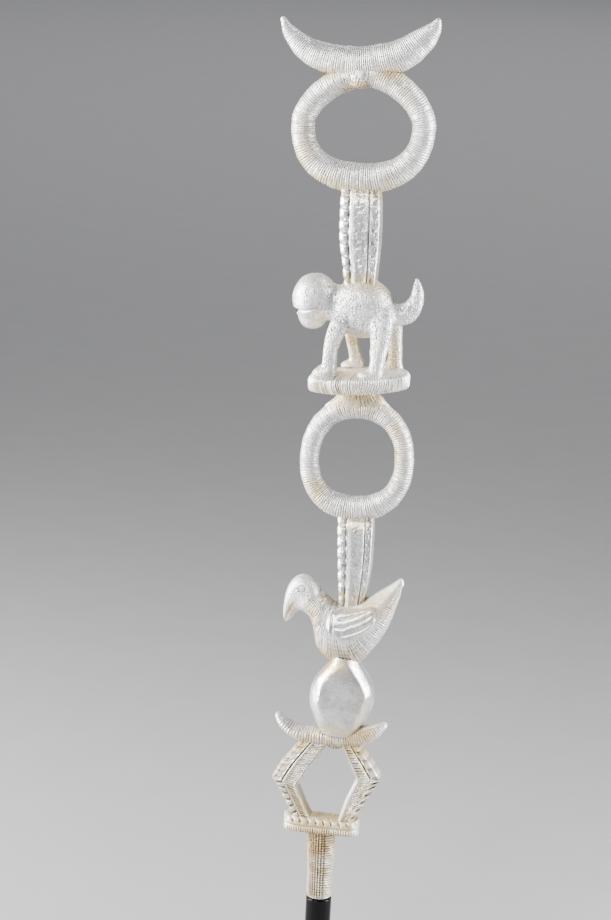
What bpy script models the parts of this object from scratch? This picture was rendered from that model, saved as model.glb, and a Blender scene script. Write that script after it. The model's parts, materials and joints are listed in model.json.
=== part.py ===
"""A carved ceremonial staff section, covered in metal leaf, standing on its rod and round foot.

From the top: a crescent, a ring, a ribbed shaft, a monkey on a plinth, a second ring, a second ribbed
shaft, a bird, an egg, a stool and a round tang. All of that is one carving. The tang stands on a black
rod in a round foot. The staff's front faces -Y. Numbers are millimetres, and meshes are made in metres.
"""

import math

import bmesh
import bpy
import numpy as np
from mathutils import Vector
from mathutils.bvhtree import BVHTree

MM = 0.001
GAP = 0.3

# Stand
FOOT_RADIUS = 75.0
FOOT_THICKNESS = 14.0
FOOT_BEVEL = 2.5
ROD_RADIUS = 9.8
ROD_LENGTH = 66.0
ROD_BEVEL = 0.6

# Tang and stool
TANG_LENGTH = 53.6
TANG_FOOT_RADIUS = 9.4
TANG_TOP_RADIUS = 10.8
TANG_BEVEL = 3.0
BASE_LENGTH = 58.4
BASE_HEIGHT = 11.2
BASE_DEPTH = 23.0
BASE_RISE = -0.004
BASE_X = -1.0
LEG_HEIGHT = 57.9
LEG_DEPTH = 16.5
SEAT_SPAN = 87.0
SEAT_THICKNESS = 13.5
SEAT_DEPTH = 21.0
SEAT_X = 3.0

# Egg and bird
EGG_HEIGHT = 54.0
EGG_WIDTH = 49.0
EGG_DEPTH = 39.0
EGG_X = 9.7
EGG_LEAN = 3.4
BIRD_HEIGHT = 47.0
BIRD_X = 11.0
WING_RISE = 1.5

# Shafts
LOWER_SHAFT_LENGTH = 62.5
LOWER_SHAFT_WIDTH = 27.6
LOWER_SHAFT_DEPTH = 15.4
LOWER_SHAFT_X = 13.3
UPPER_SHAFT_LENGTH = 66.0
UPPER_SHAFT_WIDTH = 31.2
UPPER_SHAFT_DEPTH = 18.2
UPPER_SHAFT_X = 4.6
BEAD_PITCH = 8.1
BEAD_RISE = 0.9
NOTCH_DEPTH = 1.2

# Rings: the middle of the tube's width, its rise and drop from its widest level, the tube's radius at
# side, top and bottom, and how far its top leans to the right
LOWER_RING_WIDTH = 71.8
LOWER_RING_RISE = 40.2
LOWER_RING_DROP = 36.7
LOWER_RING_SIDE = 7.3
LOWER_RING_TOP = 8.3
LOWER_RING_BOTTOM = 9.5
LOWER_RING_X = 11.2
LOWER_RING_LEAN = 1.0
NECK_WIDTH = 31.0
NECK_HEIGHT = 14.0
UPPER_RING_WIDTH = 89.7
UPPER_RING_RISE = 36.6
UPPER_RING_DROP = 40.0
UPPER_RING_SIDE = 8.75
UPPER_RING_TOP = 10.0
UPPER_RING_BOTTOM = 11.2
UPPER_RING_X = 2.9
UPPER_RING_LEAN = 1.9

# Monkey and plinth
PLINTH_LENGTH = 75.5
PLINTH_DEPTH = 56.0
PLINTH_BACK = 0.89
PLINTH_THICKNESS = 13.0
PLINTH_RISE = 0.09
PLINTH_X = 9.6
MONKEY_HEIGHT = 67.5
MONKEY_X = 9.6

# Crescent, and the nub that hangs from it in front of and behind the upper ring
CRESCENT_SPAN = 117.0
CRESCENT_X = -2.0
NUB_WIDTH = 17.0
NUB_HEIGHT = 15.0
NUB_DEPTH = 21.0

# Figures are drawn on grids: this many squares go to the size named above
MONKEY_GRID = 67.5
BIRD_GRID = 47.0
SEAT_GRID = 87.0
CRESCENT_GRID = 117.0

# Levels, from the foot's underside up
TANG_FOOT = FOOT_THICKNESS + GAP + ROD_LENGTH + GAP
BASE_FOOT = TANG_FOOT + TANG_LENGTH
BASE_TOP = BASE_FOOT + BASE_HEIGHT
SEAT_FOOT = BASE_TOP + LEG_HEIGHT
EGG_FOOT = SEAT_FOOT + SEAT_THICKNESS
BIRD_FOOT = EGG_FOOT + EGG_HEIGHT
LOWER_SHAFT_FOOT = BIRD_FOOT + BIRD_HEIGHT
LOWER_RING_FOOT = LOWER_SHAFT_FOOT + LOWER_SHAFT_LENGTH
LOWER_RING_MIDDLE = LOWER_RING_FOOT + LOWER_RING_BOTTOM + LOWER_RING_DROP
PLINTH_FOOT = LOWER_RING_MIDDLE + LOWER_RING_RISE + NECK_HEIGHT
PLINTH_TOP = PLINTH_FOOT + PLINTH_THICKNESS
UPPER_SHAFT_FOOT = PLINTH_TOP + MONKEY_HEIGHT
UPPER_RING_FOOT = UPPER_SHAFT_FOOT + UPPER_SHAFT_LENGTH
UPPER_RING_MIDDLE = UPPER_RING_FOOT + UPPER_RING_BOTTOM + UPPER_RING_DROP
CRESCENT_FOOT = UPPER_RING_MIDDLE + UPPER_RING_RISE - 0.9


def clear_scene():
    for thing in list(bpy.data.objects):
        bpy.data.objects.remove(thing, do_unlink=True)


def smooth(stations, count):
    """Count + 1 rows along the smooth curve through the stations, whatever their columns hold."""
    rows = np.array(stations, float)
    ends = np.vstack([2 * rows[0] - rows[1], rows, 2 * rows[-1] - rows[-2]])
    places = np.linspace(0, len(rows) - 1, count + 1)
    step = np.minimum(places.astype(int), len(rows) - 2)
    t = (places - step)[:, None]
    a, b, c, d = (ends[step + k] for k in range(4))
    return 0.5 * (2 * b + (c - a) * t + (2 * a - 5 * b + 4 * c - d) * t**2 + (3 * b - a - 3 * c + d) * t**3)


def rounded(value, power):
    """A cosine or sine bent so that its circle becomes a superellipse of that power."""
    return np.sign(value) * np.abs(value) ** (2 / power)


def tube_rows(path, sides, power=2.0, closed=False):
    """Rings of points round a path. Each path row is x, y, z, half height in XZ and half depth in Y."""
    path = np.asarray(path, float)
    if closed:
        ahead, behind = np.roll(path, -1, 0), np.roll(path, 1, 0)
    else:
        ahead, behind = np.vstack([path[1:], path[-1]]), np.vstack([path[0], path[:-1]])
    along = (ahead - behind)[:, :3] * (1, 0, 1)
    along /= np.linalg.norm(along, axis=1)[:, None]
    across = np.stack([-along[:, 2], 0 * along[:, 1], along[:, 0]], 1)
    angle = np.arange(sides) * 2 * math.pi / sides
    height = path[:, 3:4] * rounded(np.cos(angle), power)
    depth = path[:, 4:5] * rounded(np.sin(angle), power)
    rows = path[:, None, :3] + across[:, None] * height[..., None]
    rows[..., 1] += depth
    return rows


def blob_path(centre, half_length, half_height, half_depth, rise=0.0, count=8):
    """A path whose tube is an ellipsoid, lying along X and turned up by rise radians."""
    rows = []
    for k in range(count + 1):
        angle = math.pi * (k + 0.35) / (count + 0.7)
        reach = -half_length * math.cos(angle)
        width = math.sin(angle)
        x = centre[0] + reach * math.cos(rise)
        z = centre[2] + reach * math.sin(rise)
        rows.append((x, centre[1], z, half_height * width, half_depth * width))
    return rows


def mesh_from_rows(name, rows, closed=False):
    """A closed mesh through rings of points, in metres: a loop of rings, or flat at both ends."""
    rows = np.asarray(rows, float)
    count, sides = rows.shape[:2]
    points = [tuple(point) for point in (rows.reshape(-1, 3) * MM)]
    faces = []
    for i in range(count if closed else count - 1):
        low, high = i * sides, (i + 1) % count * sides
        for j in range(sides):
            k = (j + 1) % sides
            faces.append((low + j, low + k, high + k, high + j))
    if not closed:
        faces.append(tuple(reversed(range(sides))))
        faces.append(tuple(range((count - 1) * sides, count * sides)))
    mesh = bpy.data.meshes.new(name)
    mesh.from_pydata(points, [], faces)
    shape = bmesh.new()
    shape.from_mesh(mesh)
    bmesh.ops.recalc_face_normals(shape, faces=shape.faces)
    shape.to_mesh(mesh)
    shape.free()
    return mesh


def finish(colour, roughness, metallic, name):
    material = bpy.data.materials.new(name)
    material.use_nodes = True
    shader = material.node_tree.nodes["Principled BSDF"]
    shader.inputs["Base Color"].default_value = (*colour, 1)
    shader.inputs["Roughness"].default_value = roughness
    shader.inputs["Metallic"].default_value = metallic
    return material


def show(mesh, name, material):
    thing = bpy.data.objects.new(name, mesh)
    bpy.context.scene.collection.objects.link(thing)
    mesh.materials.append(material)
    mesh.shade_smooth()
    mesh.set_sharp_from_angle(angle=math.radians(35))
    return thing


class Carving:
    """Shapes that become one solid: what is added is united, and what is cut is taken away after."""

    def __init__(self, name, first):
        self.body = bpy.data.objects.new(name, first)
        bpy.context.scene.collection.objects.link(self.body)
        self.groups = {}

    def helper(self, group, mesh):
        if group not in self.groups:
            self.groups[group] = bpy.data.collections.new(group)
            bpy.context.scene.collection.children.link(self.groups[group])
        thing = bpy.data.objects.new(mesh.name, mesh)
        thing.hide_render = True
        thing.display_type = "WIRE"
        self.groups[group].objects.link(thing)

    def add(self, name, rows, closed=False):
        mesh = mesh_from_rows(name, rows, closed)
        self.helper("added_shapes", mesh)
        return mesh

    def cut(self, name, rows, closed=False):
        self.helper("cut_shapes", mesh_from_rows(name, rows, closed))

    def unite(self):
        for group, operation in (("added_shapes", "UNION"), ("cut_shapes", "DIFFERENCE")):
            if group not in self.groups:
                continue
            modifier = self.body.modifiers.new(group, "BOOLEAN")
            modifier.operation = operation
            modifier.solver = "EXACT"
            modifier.operand_type = "COLLECTION"
            modifier.collection = self.groups[group]
        return self.body


def surface_of(meshes):
    """What a ray along Y meets first on these meshes, for carving that follows a body's surface."""
    trees = []
    for mesh in meshes:
        points = [vertex.co for vertex in mesh.vertices]
        trees.append(BVHTree.FromPolygons(points, [tuple(face.vertices) for face in mesh.polygons]))

    def depth(x, z, side):
        """The surface's y at x and z, seen from the front, side -1, or from the back, side 1."""
        start = Vector((x * MM, side * 0.2, z * MM))
        found = [tree.ray_cast(start, Vector((0, -side, 0)))[0] for tree in trees]
        reached = [place.y / MM for place in found if place is not None]
        return side * max((side * y for y in reached), default=0.0)

    return depth


def ring_mark(at, radius, thickness, depth, side, turns=9, sides=3):
    """A small raised ring that lies on a surface, such as the rim of an eye."""
    path = []
    for k in range(turns):
        angle = 2 * math.pi * k / turns
        x = at[0] + radius * math.cos(angle)
        z = at[1] + radius * math.sin(angle)
        path.append((x, depth(x, z, side), z, thickness, thickness))
    return tube_rows(path, sides, closed=True)


def on_grid(stations, grid, size, x, z):
    """Stations drawn on a figure's own grid, at the figure's size and place."""
    rows = np.array(stations, float) * (size / grid)
    rows[:, 0] += x
    rows[:, 2] += z
    return rows


# Tang and stool


def tang_rows(sides=20):
    """A round tang, a little thicker at the top, with its lower end bevelled."""
    levels = (
        (0.0, TANG_FOOT_RADIUS - TANG_BEVEL),
        (TANG_BEVEL * 0.7, TANG_FOOT_RADIUS - TANG_BEVEL * 0.25),
        (TANG_BEVEL * 1.4, TANG_FOOT_RADIUS),
        (TANG_LENGTH, TANG_TOP_RADIUS),
        (TANG_LENGTH + BASE_HEIGHT * 0.2, TANG_TOP_RADIUS),
        (TANG_LENGTH + BASE_HEIGHT * 0.4, TANG_TOP_RADIUS * 0.8),
    )
    angle = np.arange(sides) * 2 * math.pi / sides
    rows = []
    for level, radius in levels:
        x = BASE_X / 2 * level / TANG_LENGTH
        circle = [(x + radius * math.cos(a), radius * math.sin(a), TANG_FOOT + level) for a in angle]
        rows.append(circle)
    return rows


def base_profile():
    """The base's front half in section, from the underside up, as shares of half depth and of height."""
    lower_ridge = ((0.62, 0.0), (0.92, 0.05), (1.0, 0.24), (0.96, 0.42))
    upper_ridge = ((0.87, 0.48), (0.98, 0.6), (1.0, 0.82), (0.9, 0.98), (0.74, 0.97))
    top = ((0.66, 0.86), (0.3, 0.83))
    return lower_ridge + upper_ridge + top


def base_rows(slices=8):
    """A thick slab along X with two ridges round its edge and rounded ends."""
    front = base_profile()
    outline = [(-y, z) for y, z in front] + [(y, z) for y, z in reversed(front)]
    rows = []
    for k in range(slices + 1):
        share = -math.cos(math.pi * k / slices)
        end_round = 5.5 if share < 0 else 9.0
        plan = max(0.3, (1 - abs(share) ** end_round) ** 0.5)
        x = BASE_X + share * BASE_LENGTH / 2
        lift = BASE_FOOT + BASE_RISE * (x - BASE_X)
        rows.append([(x, y * plan * BASE_DEPTH / 2, lift + z * BASE_HEIGHT) for y, z in outline])
    return rows


def leg_profile():
    """A leg across its band, from the outer edge to the inner: shares of width and of half depth."""
    return ((0.0, 0.62), (0.06, 0.9), (0.3, 1.0), (0.36, 0.76), (0.42, 1.0), (0.9, 0.96), (1.0, 0.66))


def leg_rows(outer, inner, slices):
    """A band of even thickness between two bent edges, with a groove along it, front and back."""
    front = leg_profile()
    outline = [(u, -y) for u, y in front] + [(u, y) for u, y in reversed(front)]
    places = np.linspace(0, len(outer) - 1, slices * (len(outer) - 1) + 1)
    rows = []
    for place in places:
        step = min(int(place), len(outer) - 2)
        share = place - step
        start = np.array(outer[step]) * (1 - share) + np.array(outer[step + 1]) * share
        end = np.array(inner[step]) * (1 - share) + np.array(inner[step + 1]) * share
        row = []
        for u, y in outline:
            x, z = start + (end - start) * u
            row.append((SEAT_X + x, y * LEG_DEPTH / 2, BASE_TOP + z * LEG_HEIGHT))
        rows.append(row)
    return rows


# Leg edges: x from the seat's middle, and height as a share of the legs' height
LEFT_LEG_OUTER = ((-23.6, -0.06), (-39.9, 0.43), (-43.6, 0.52), (-37.9, 0.71), (-21.3, 1.08))
LEFT_LEG_INNER = ((-10.4, -0.06), (-18.6, 0.24), (-23.0, 0.42), (-12.6, 0.73), (0.6, 1.08))
RIGHT_LEG_OUTER = ((19.3, -0.06), (37.6, 0.52), (40.9, 0.63), (33.0, 0.82), (19.8, 1.08))
RIGHT_LEG_INNER = ((8.4, -0.06), (14.2, 0.3), (21.7, 0.606), (16.5, 0.79), (8.9, 1.08))

SEAT_STATIONS = (
    (-43.0, 0, 21.7, 1.6, 3.0),
    (-40.2, 0, 17.2, 2.9, 6.2),
    (-35.0, 0, 12.3, 4.0, 8.6),
    (-27.9, 0, 8.6, 4.9, 9.8),
    (-18.5, 0, 6.9, 5.5, 10.3),
    (-3.0, 0, 6.5, 6.3, 10.5),
    (12.0, 0, 7.3, 6.9, 10.5),
    (23.3, 0, 9.7, 7.0, 10.2),
    (32.7, 0, 14.0, 5.7, 8.8),
    (39.4, 0, 18.8, 3.3, 5.7),
    (42.4, 0, 21.3, 1.7, 3.0),
)


def seat_path(count):
    rows = on_grid(SEAT_STATIONS, SEAT_GRID, SEAT_SPAN, SEAT_X, SEAT_FOOT)
    rows[:, 4] *= (SEAT_DEPTH / 2) / rows[:, 4].max()
    return smooth(rows, count)


def carve_stool(carving):
    carving.add("base", base_rows())
    carving.add("left_leg", leg_rows(LEFT_LEG_OUTER, LEFT_LEG_INNER, 2))
    carving.add("right_leg", leg_rows(RIGHT_LEG_OUTER, RIGHT_LEG_INNER, 2))
    carving.add("seat", tube_rows(seat_path(14), 10, 2.5))
    boss = (SEAT_X + 3.5, 0, SEAT_FOOT + 2.0)
    carving.add("seat_boss", tube_rows(blob_path(boss, 8.0, 4.6, 7.5), 8))


# Egg and bird


def egg_path(count):
    """Half widths from the foot up, as shares of half the width, on levels in shares of the height."""
    low = ((-0.05, 0.5), (0.13, 0.755), (0.26, 0.9), (0.39, 0.985), (0.5, 1.0))
    high = ((0.62, 0.955), (0.745, 0.845), (0.875, 0.64), (0.985, 0.46), (1.08, 0.38))
    stations = []
    for level, width in low + high:
        x = EGG_X + EGG_LEAN * (level - 0.5)
        z = EGG_FOOT + level * EGG_HEIGHT
        stations.append((x, 0, z, width * EGG_WIDTH / 2, width * EGG_DEPTH / 2))
    return smooth(stations, count)


BIRD_BODY = (
    (40.0, 0, 65.8, 1.5, 2.2),
    (37.8, 0, 62.4, 3.9, 4.2),
    (34.6, 0, 58.0, 6.2, 6.4),
    (28.5, 0, 50.2, 9.6, 9.5),
    (17.4, 0, 35.6, 16.3, 14.0),
    (5.3, 0, 25.4, 22.2, 16.5),
    (-6.0, 0, 22.4, 23.2, 16.0),
    (-16.0, 0, 23.8, 18.0, 13.0),
    (-22.2, 0, 25.4, 9.5, 8.0),
    (-25.4, 0, 26.6, 2.5, 2.5),
)
BIRD_NECK = (
    (-7.0, 0, 24.5, 15.0, 13.0),
    (-12.0, 0, 29.4, 15.6, 13.4),
    (-17.0, 0, 34.2, 13.7, 13.2),
    (-22.5, 0, 40.2, 11.2, 12.2),
    (-28.0, 0, 45.2, 11.0, 11.0),
    (-33.5, 0, 49.0, 10.0, 9.5),
)
BIRD_HEAD = (-36.3, 0, 51.3)
BIRD_BEAK = (
    (-36.5, 0, 49.0, 9.0, 7.5),
    (-41.5, 0, 40.5, 6.6, 5.6),
    (-45.0, 0, 33.0, 4.2, 3.8),
    (-47.0, 0, 28.6, 2.2, 2.2),
    (-47.4, 0, 27.0, 0.9, 1.0),
)
BIRD_EYE = (-34.3, 54.6)
WING_GROOVES = 4
# The wing's edges from front to back: x and z on the bird's grid
WING_LOWER_EDGE = (
    (-14.3, 27.9),
    (-9.0, 21.4),
    (-1.2, 19.1),
    (6.3, 20.6),
    (13.8, 24.1),
    (20.4, 29.8),
    (24.4, 38.8),
)
WING_UPPER_EDGE = (
    (-13.6, 34.5),
    (-10.1, 41.2),
    (-4.1, 42.4),
    (2.5, 43.4),
    (9.5, 44.6),
    (17.0, 46.3),
    (23.0, 47.6),
)


def bird_place(stations):
    return on_grid(stations, BIRD_GRID, BIRD_HEIGHT, BIRD_X, BIRD_FOOT)


def wing_rows(depth, side, along=6):
    """A smooth raised panel on the bird's flank, with grooves that rise towards the tail."""
    unit = BIRD_HEIGHT / BIRD_GRID
    across = 2 * (WING_GROOVES + 1)
    lower, upper = smooth(WING_LOWER_EDGE, along), smooth(WING_UPPER_EDGE, along)
    rows = []
    for i in range(along + 1):
        u = i / along
        outer, inner = [], []
        for j in range(across + 1):
            v = j / across
            x, z = lower[i] + (upper[i] - lower[i]) * v
            x, z = BIRD_X + x * unit, BIRD_FOOT + z * unit
            edge = min(1.0, 5 * min(v, 1 - v)) * min(1.0, 5 * min(u, 1 - u))
            grooved = j % 2 == 0 and 1 < i < along
            rise = WING_RISE * (edge - 0.5 * grooved * (edge > 0)) + 0.1
            y = depth(x, z, side)
            outer.append((x, y + side * rise, z))
            inner.append((x, y - side * 2.5, z))
        rows.append(outer + inner[::-1])
    return rows


def carve_bird(carving):
    unit = BIRD_HEIGHT / BIRD_GRID
    body = carving.add("bird_body", tube_rows(smooth(bird_place(BIRD_BODY), 15), 14, 2.1))
    carving.add("bird_neck", tube_rows(smooth(bird_place(BIRD_NECK), 6), 12))
    x, y, z = BIRD_X + BIRD_HEAD[0] * unit, 0, BIRD_FOOT + BIRD_HEAD[2] * unit
    head_path = blob_path((x, y, z), 12.6 * unit, 13.8 * unit, 11.5 * unit, count=8)
    head = carving.add("bird_head", tube_rows(head_path, 12))
    carving.add("bird_beak", tube_rows(smooth(bird_place(BIRD_BEAK), 5), 8, 2.2))
    flank = surface_of([body])
    face = surface_of([head])
    eye = (BIRD_X + BIRD_EYE[0] * unit, BIRD_FOOT + BIRD_EYE[1] * unit)
    for side, which in ((-1, "front"), (1, "back")):
        carving.add("wing_" + which, wing_rows(flank, side))
        carving.add("bird_eye_" + which, ring_mark(eye, 3.0 * unit, 0.7 * unit, face, side))


# Shafts


def shaft_profile(left, right):
    """The front of a shaft in section, from right to left: shares of half width and of half depth.

    Left and right are the places of the two grooves that part its rib from its bands.
    """
    right_band = ((1.0, 0.3), (0.92, 0.8), (right + 0.09, 0.88))
    rib = ((right, 0.7), (right - 0.09, 0.97), (0.0, 1.0), (left + 0.09, 0.97), (left, 0.7))
    left_band = ((left - 0.09, 0.88), (-0.88, 0.84), (-1.0, 0.3))
    return right_band + rib + left_band


def shaft_rows(middle, foot, length, taper, depth, grooves, steps_per_bead=2):
    """A shaft with a rib between two bands, beads down the left band and notches down the right one.

    The taper gives the x shift and half width of the shaft at levels in shares of its length. Its top
    is drawn in, so that the ring over it overhangs it.
    """
    front = shaft_profile(*grooves)
    outline = [(x, -y) for x, y in front] + [(x, y) for x, y in reversed(front)]
    beads = max(2, round(length / BEAD_PITCH))
    count = beads * steps_per_bead
    sunk = BEAD_PITCH
    widths = smooth(taper, count)
    rows = []
    for i in range(count + 1):
        share = i / count
        shift, half = widths[i]
        z = foot - sunk + share * (length + 2 * sunk)
        bead = BEAD_RISE * (1 - abs(2 * ((share * beads) % 1) - 1))
        notch = NOTCH_DEPTH * ((share * beads + 0.5) % 1 > 0.25)
        drawn_in = min(1.0, max(0.0, 1 + (z - foot - length) / sunk))
        row = []
        for x, y in outline:
            deep = y * depth / 2 * (1 - 0.3 * drawn_in)
            out = 0.0
            if x < -0.7:
                out = BEAD_RISE - bead
            if x > 0.8 and abs(y) > 0.4:
                deep -= math.copysign(notch, deep)
            row.append((middle + shift + x * half + out, deep, z))
        rows.append(row)
    return rows


LOWER_GROOVES = (-0.47, 0.55)
UPPER_GROOVES = (-0.5, 0.45)
LOWER_TAPER = ((-0.4, 0.66), (0.4, 0.82), (0.6, 0.95), (0.2, 1.0), (-0.4, 1.0))
UPPER_TAPER = ((2.2, 0.73), (1.6, 0.86), (0.3, 1.0), (-0.2, 1.0), (-1.0, 0.95))


def carve_shafts(carving):
    lower = [(shift, share * LOWER_SHAFT_WIDTH / 2) for shift, share in LOWER_TAPER]
    upper = [(shift, share * UPPER_SHAFT_WIDTH / 2) for shift, share in UPPER_TAPER]
    place = (LOWER_SHAFT_X, LOWER_SHAFT_FOOT, LOWER_SHAFT_LENGTH)
    carving.add("lower_shaft", shaft_rows(*place, lower, LOWER_SHAFT_DEPTH, LOWER_GROOVES))
    place = (UPPER_SHAFT_X, UPPER_SHAFT_FOOT, UPPER_SHAFT_LENGTH)
    carving.add("upper_shaft", shaft_rows(*place, upper, UPPER_SHAFT_DEPTH, UPPER_GROOVES))


# Rings


def ring_path(x, middle, width, rise, drop, side, top, bottom, lean, powers, count):
    """A closed oval path: its tube is thicker at top and bottom than at the sides."""
    rows = []
    for k in range(count):
        angle = 2 * math.pi * k / count
        up = math.sin(angle)
        power = powers[0] if up > 0 else powers[1]
        reach = width / 2 * float(rounded(math.cos(angle), power))
        level = (rise if up > 0 else drop) * float(rounded(up, power))
        pole = top if up > 0 else bottom
        radius = side + (pole - side) * abs(up) ** 2.2
        depth = side + (pole - side) * 0.35 * up * up
        rows.append((x + reach + lean * up, 0, middle + level, radius, depth))
    return rows


def lower_ring_path(count):
    sizes = (LOWER_RING_WIDTH, LOWER_RING_RISE, LOWER_RING_DROP, LOWER_RING_SIDE, LOWER_RING_TOP)
    more = (LOWER_RING_BOTTOM, LOWER_RING_LEAN, (2.18, 2.25))
    return ring_path(LOWER_RING_X, LOWER_RING_MIDDLE, *sizes, *more, count)


def upper_ring_path(count):
    sizes = (UPPER_RING_WIDTH, UPPER_RING_RISE, UPPER_RING_DROP, UPPER_RING_SIDE, UPPER_RING_TOP)
    more = (UPPER_RING_BOTTOM, UPPER_RING_LEAN, (1.64, 2.36))
    return ring_path(UPPER_RING_X, UPPER_RING_MIDDLE, *sizes, *more, count)


def neck_path(count):
    """The flare that carries the plinth on the lower ring."""
    top = PLINTH_FOOT + PLINTH_THICKNESS / 2
    low = PLINTH_FOOT - NECK_HEIGHT
    half = NECK_WIDTH / 2
    stations = (
        (LOWER_RING_X - 1.0, 0, low - NECK_HEIGHT / 3, half * 1.1, LOWER_RING_TOP * 0.7),
        (LOWER_RING_X - 1.0, 0, low + NECK_HEIGHT * 0.2, half * 1.2, LOWER_RING_TOP),
        (LOWER_RING_X - 1.4, 0, PLINTH_FOOT - NECK_HEIGHT * 0.15, half, LOWER_RING_TOP * 1.1),
        (LOWER_RING_X - 1.4, 0, top, half, LOWER_RING_TOP * 1.1),
    )
    return smooth(stations, count)


def carve_rings(carving):
    carving.add("lower_ring", tube_rows(lower_ring_path(28), 10, closed=True), closed=True)
    carving.add("neck", tube_rows(neck_path(4), 12))
    carving.add("upper_ring", tube_rows(upper_ring_path(32), 10, closed=True), closed=True)


# Monkey and plinth


def plinth_rows(sides=26):
    """A flat slab with a long oval plan, pointed at its underside, rising to the right."""
    angle = np.arange(sides) * 2 * math.pi / sides
    levels = ((0.0, 0.95, 1.75), (0.14, 1.0, 2.1), (0.74, 1.0, 2.5), (0.96, 0.94, 2.5), (1.06, 0.7, 2.4))
    rows = []
    for level, share, power in levels:
        across = rounded(np.cos(angle), power) * share * PLINTH_LENGTH / 2
        deep = rounded(np.sin(angle), power) * share * PLINTH_DEPTH / 2
        deep = np.where(deep > 0, deep * PLINTH_BACK, deep)
        z = PLINTH_FOOT + level * PLINTH_THICKNESS
        rows.append([(PLINTH_X + x, y, z + PLINTH_RISE * x) for x, y in zip(across, deep)])
    return rows


MONKEY_HEAD = (-36.0, 0, 53.0)
MONKEY_JAW = (-39.2, 0, 39.2)
MONKEY_NECK = (-19.5, 0, 50.0)
MONKEY_BODY = (-0.2, 0, 48.4)
MONKEY_EYE = (-37.2, 59.8)
MONKEY_LEGS = {
    "near_front_leg": (
        (-12.5, -11.0, 46.0, 7.5, 6.5),
        (-16.5, -15.5, 34.0, 6.6, 6.2),
        (-19.5, -18.0, 20.0, 5.4, 5.4),
        (-19.3, -19.5, 8.0, 5.3, 5.4),
        (-19.5, -20.0, -4.0, 6.0, 6.2),
    ),
    "near_hind_leg": (
        (14.0, -9.0, 46.0, 12.0, 7.5),
        (16.5, -15.0, 33.0, 9.2, 7.0),
        (16.0, -18.0, 19.0, 6.0, 5.6),
        (15.8, -19.5, 9.0, 4.9, 5.2),
        (14.5, -20.0, -3.0, 5.4, 5.8),
    ),
    "far_front_leg": (
        (-10.0, 9.0, 44.0, 6.5, 6.0),
        (-10.0, 13.5, 26.0, 4.6, 5.0),
        (-7.8, 16.0, 14.0, 4.0, 4.6),
        (-5.0, 17.0, 4.0, 4.9, 5.0),
        (-4.5, 17.0, -3.0, 6.6, 5.6),
    ),
    "far_hind_leg": (
        (17.5, 8.5, 46.0, 10.5, 7.0),
        (22.0, 13.0, 33.0, 6.4, 6.0),
        (23.5, 15.5, 18.0, 5.2, 5.0),
        (23.7, 16.5, 6.0, 5.4, 5.0),
        (24.0, 16.5, -3.0, 8.0, 5.4),
    ),
}
MONKEY_FEET = {
    "near_front_foot": (-23.6, -20.5, 1.0),
    "near_hind_foot": (9.6, -21.0, 1.6),
    "far_front_foot": (-9.0, 16.5, 1.0),
    "far_hind_foot": (19.0, 16.5, 1.6),
}
MONKEY_HEEL = (-25.4, -10.5, 0.6)
MONKEY_TAIL = (
    (15.0, 0, 45.0, 8.0, 7.5),
    (25.0, 0, 44.6, 8.2, 7.0),
    (34.0, 0, 47.8, 8.4, 6.4),
    (39.6, 0, 56.5, 6.0, 5.4),
    (40.2, 0, 65.0, 4.5, 4.2),
    (39.0, 0, 71.5, 2.5, 2.6),
    (38.4, 0, 74.0, 1.0, 1.2),
)
MOUTH = ((-47.5, 44.3), (-41.0, 44.6), (-34.5, 45.6))


def monkey_place(stations):
    rows = on_grid(stations, MONKEY_GRID, MONKEY_HEIGHT, MONKEY_X, PLINTH_TOP)
    return rows


def monkey_blob(centre, *sizes, **turn):
    unit = MONKEY_HEIGHT / MONKEY_GRID
    x, y, z = MONKEY_X + centre[0] * unit, centre[1] * unit, PLINTH_TOP + centre[2] * unit
    return blob_path((x, y, z), *(size * unit for size in sizes), **turn)


def carve_monkey(carving):
    unit = MONKEY_HEIGHT / MONKEY_GRID
    carving.add("plinth", plinth_rows())
    head = carving.add("monkey_head", tube_rows(monkey_blob(MONKEY_HEAD, 17.0, 18.8, 17.0, count=8), 14))
    jaw = carving.add("monkey_jaw", tube_rows(monkey_blob(MONKEY_JAW, 10.6, 9.6, 11.0, count=6), 10))
    carving.add("monkey_neck", tube_rows(monkey_blob(MONKEY_NECK, 12.0, 17.0, 13.5, count=5), 10))
    carving.add("monkey_body", tube_rows(monkey_blob(MONKEY_BODY, 23.8, 22.4, 17.0, count=10), 14, 2.2))
    for name, stations in MONKEY_LEGS.items():
        carving.add(name, tube_rows(smooth(monkey_place(stations), 6), 8))
    for name, centre in MONKEY_FEET.items():
        carving.add(name, tube_rows(monkey_blob(centre, 8.5, 4.4, 6.2, count=4), 8))
    carving.add("front_heel", tube_rows(monkey_blob(MONKEY_HEEL, 10.8, 5.2, 8.0, rise=0.6, count=5), 8))
    carving.add("monkey_tail", tube_rows(smooth(monkey_place(MONKEY_TAIL), 9), 8))
    face = surface_of([head])
    muzzle = surface_of([head, jaw])
    eye = (MONKEY_X + MONKEY_EYE[0] * unit, PLINTH_TOP + MONKEY_EYE[1] * unit)
    for side, which in ((-1, "near"), (1, "far")):
        carving.add("monkey_eye_" + which, ring_mark(eye, 3.4 * unit, 0.7 * unit, face, side))
        groove = []
        for x, z in MOUTH:
            x, z = MONKEY_X + x * unit, PLINTH_TOP + z * unit
            groove.append((x, muzzle(x, z, side), z, 0.9 * unit, 1.4 * unit))
        carving.cut("mouth_" + which, tube_rows(smooth(groove, 4), 6))


# Crescent

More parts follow.
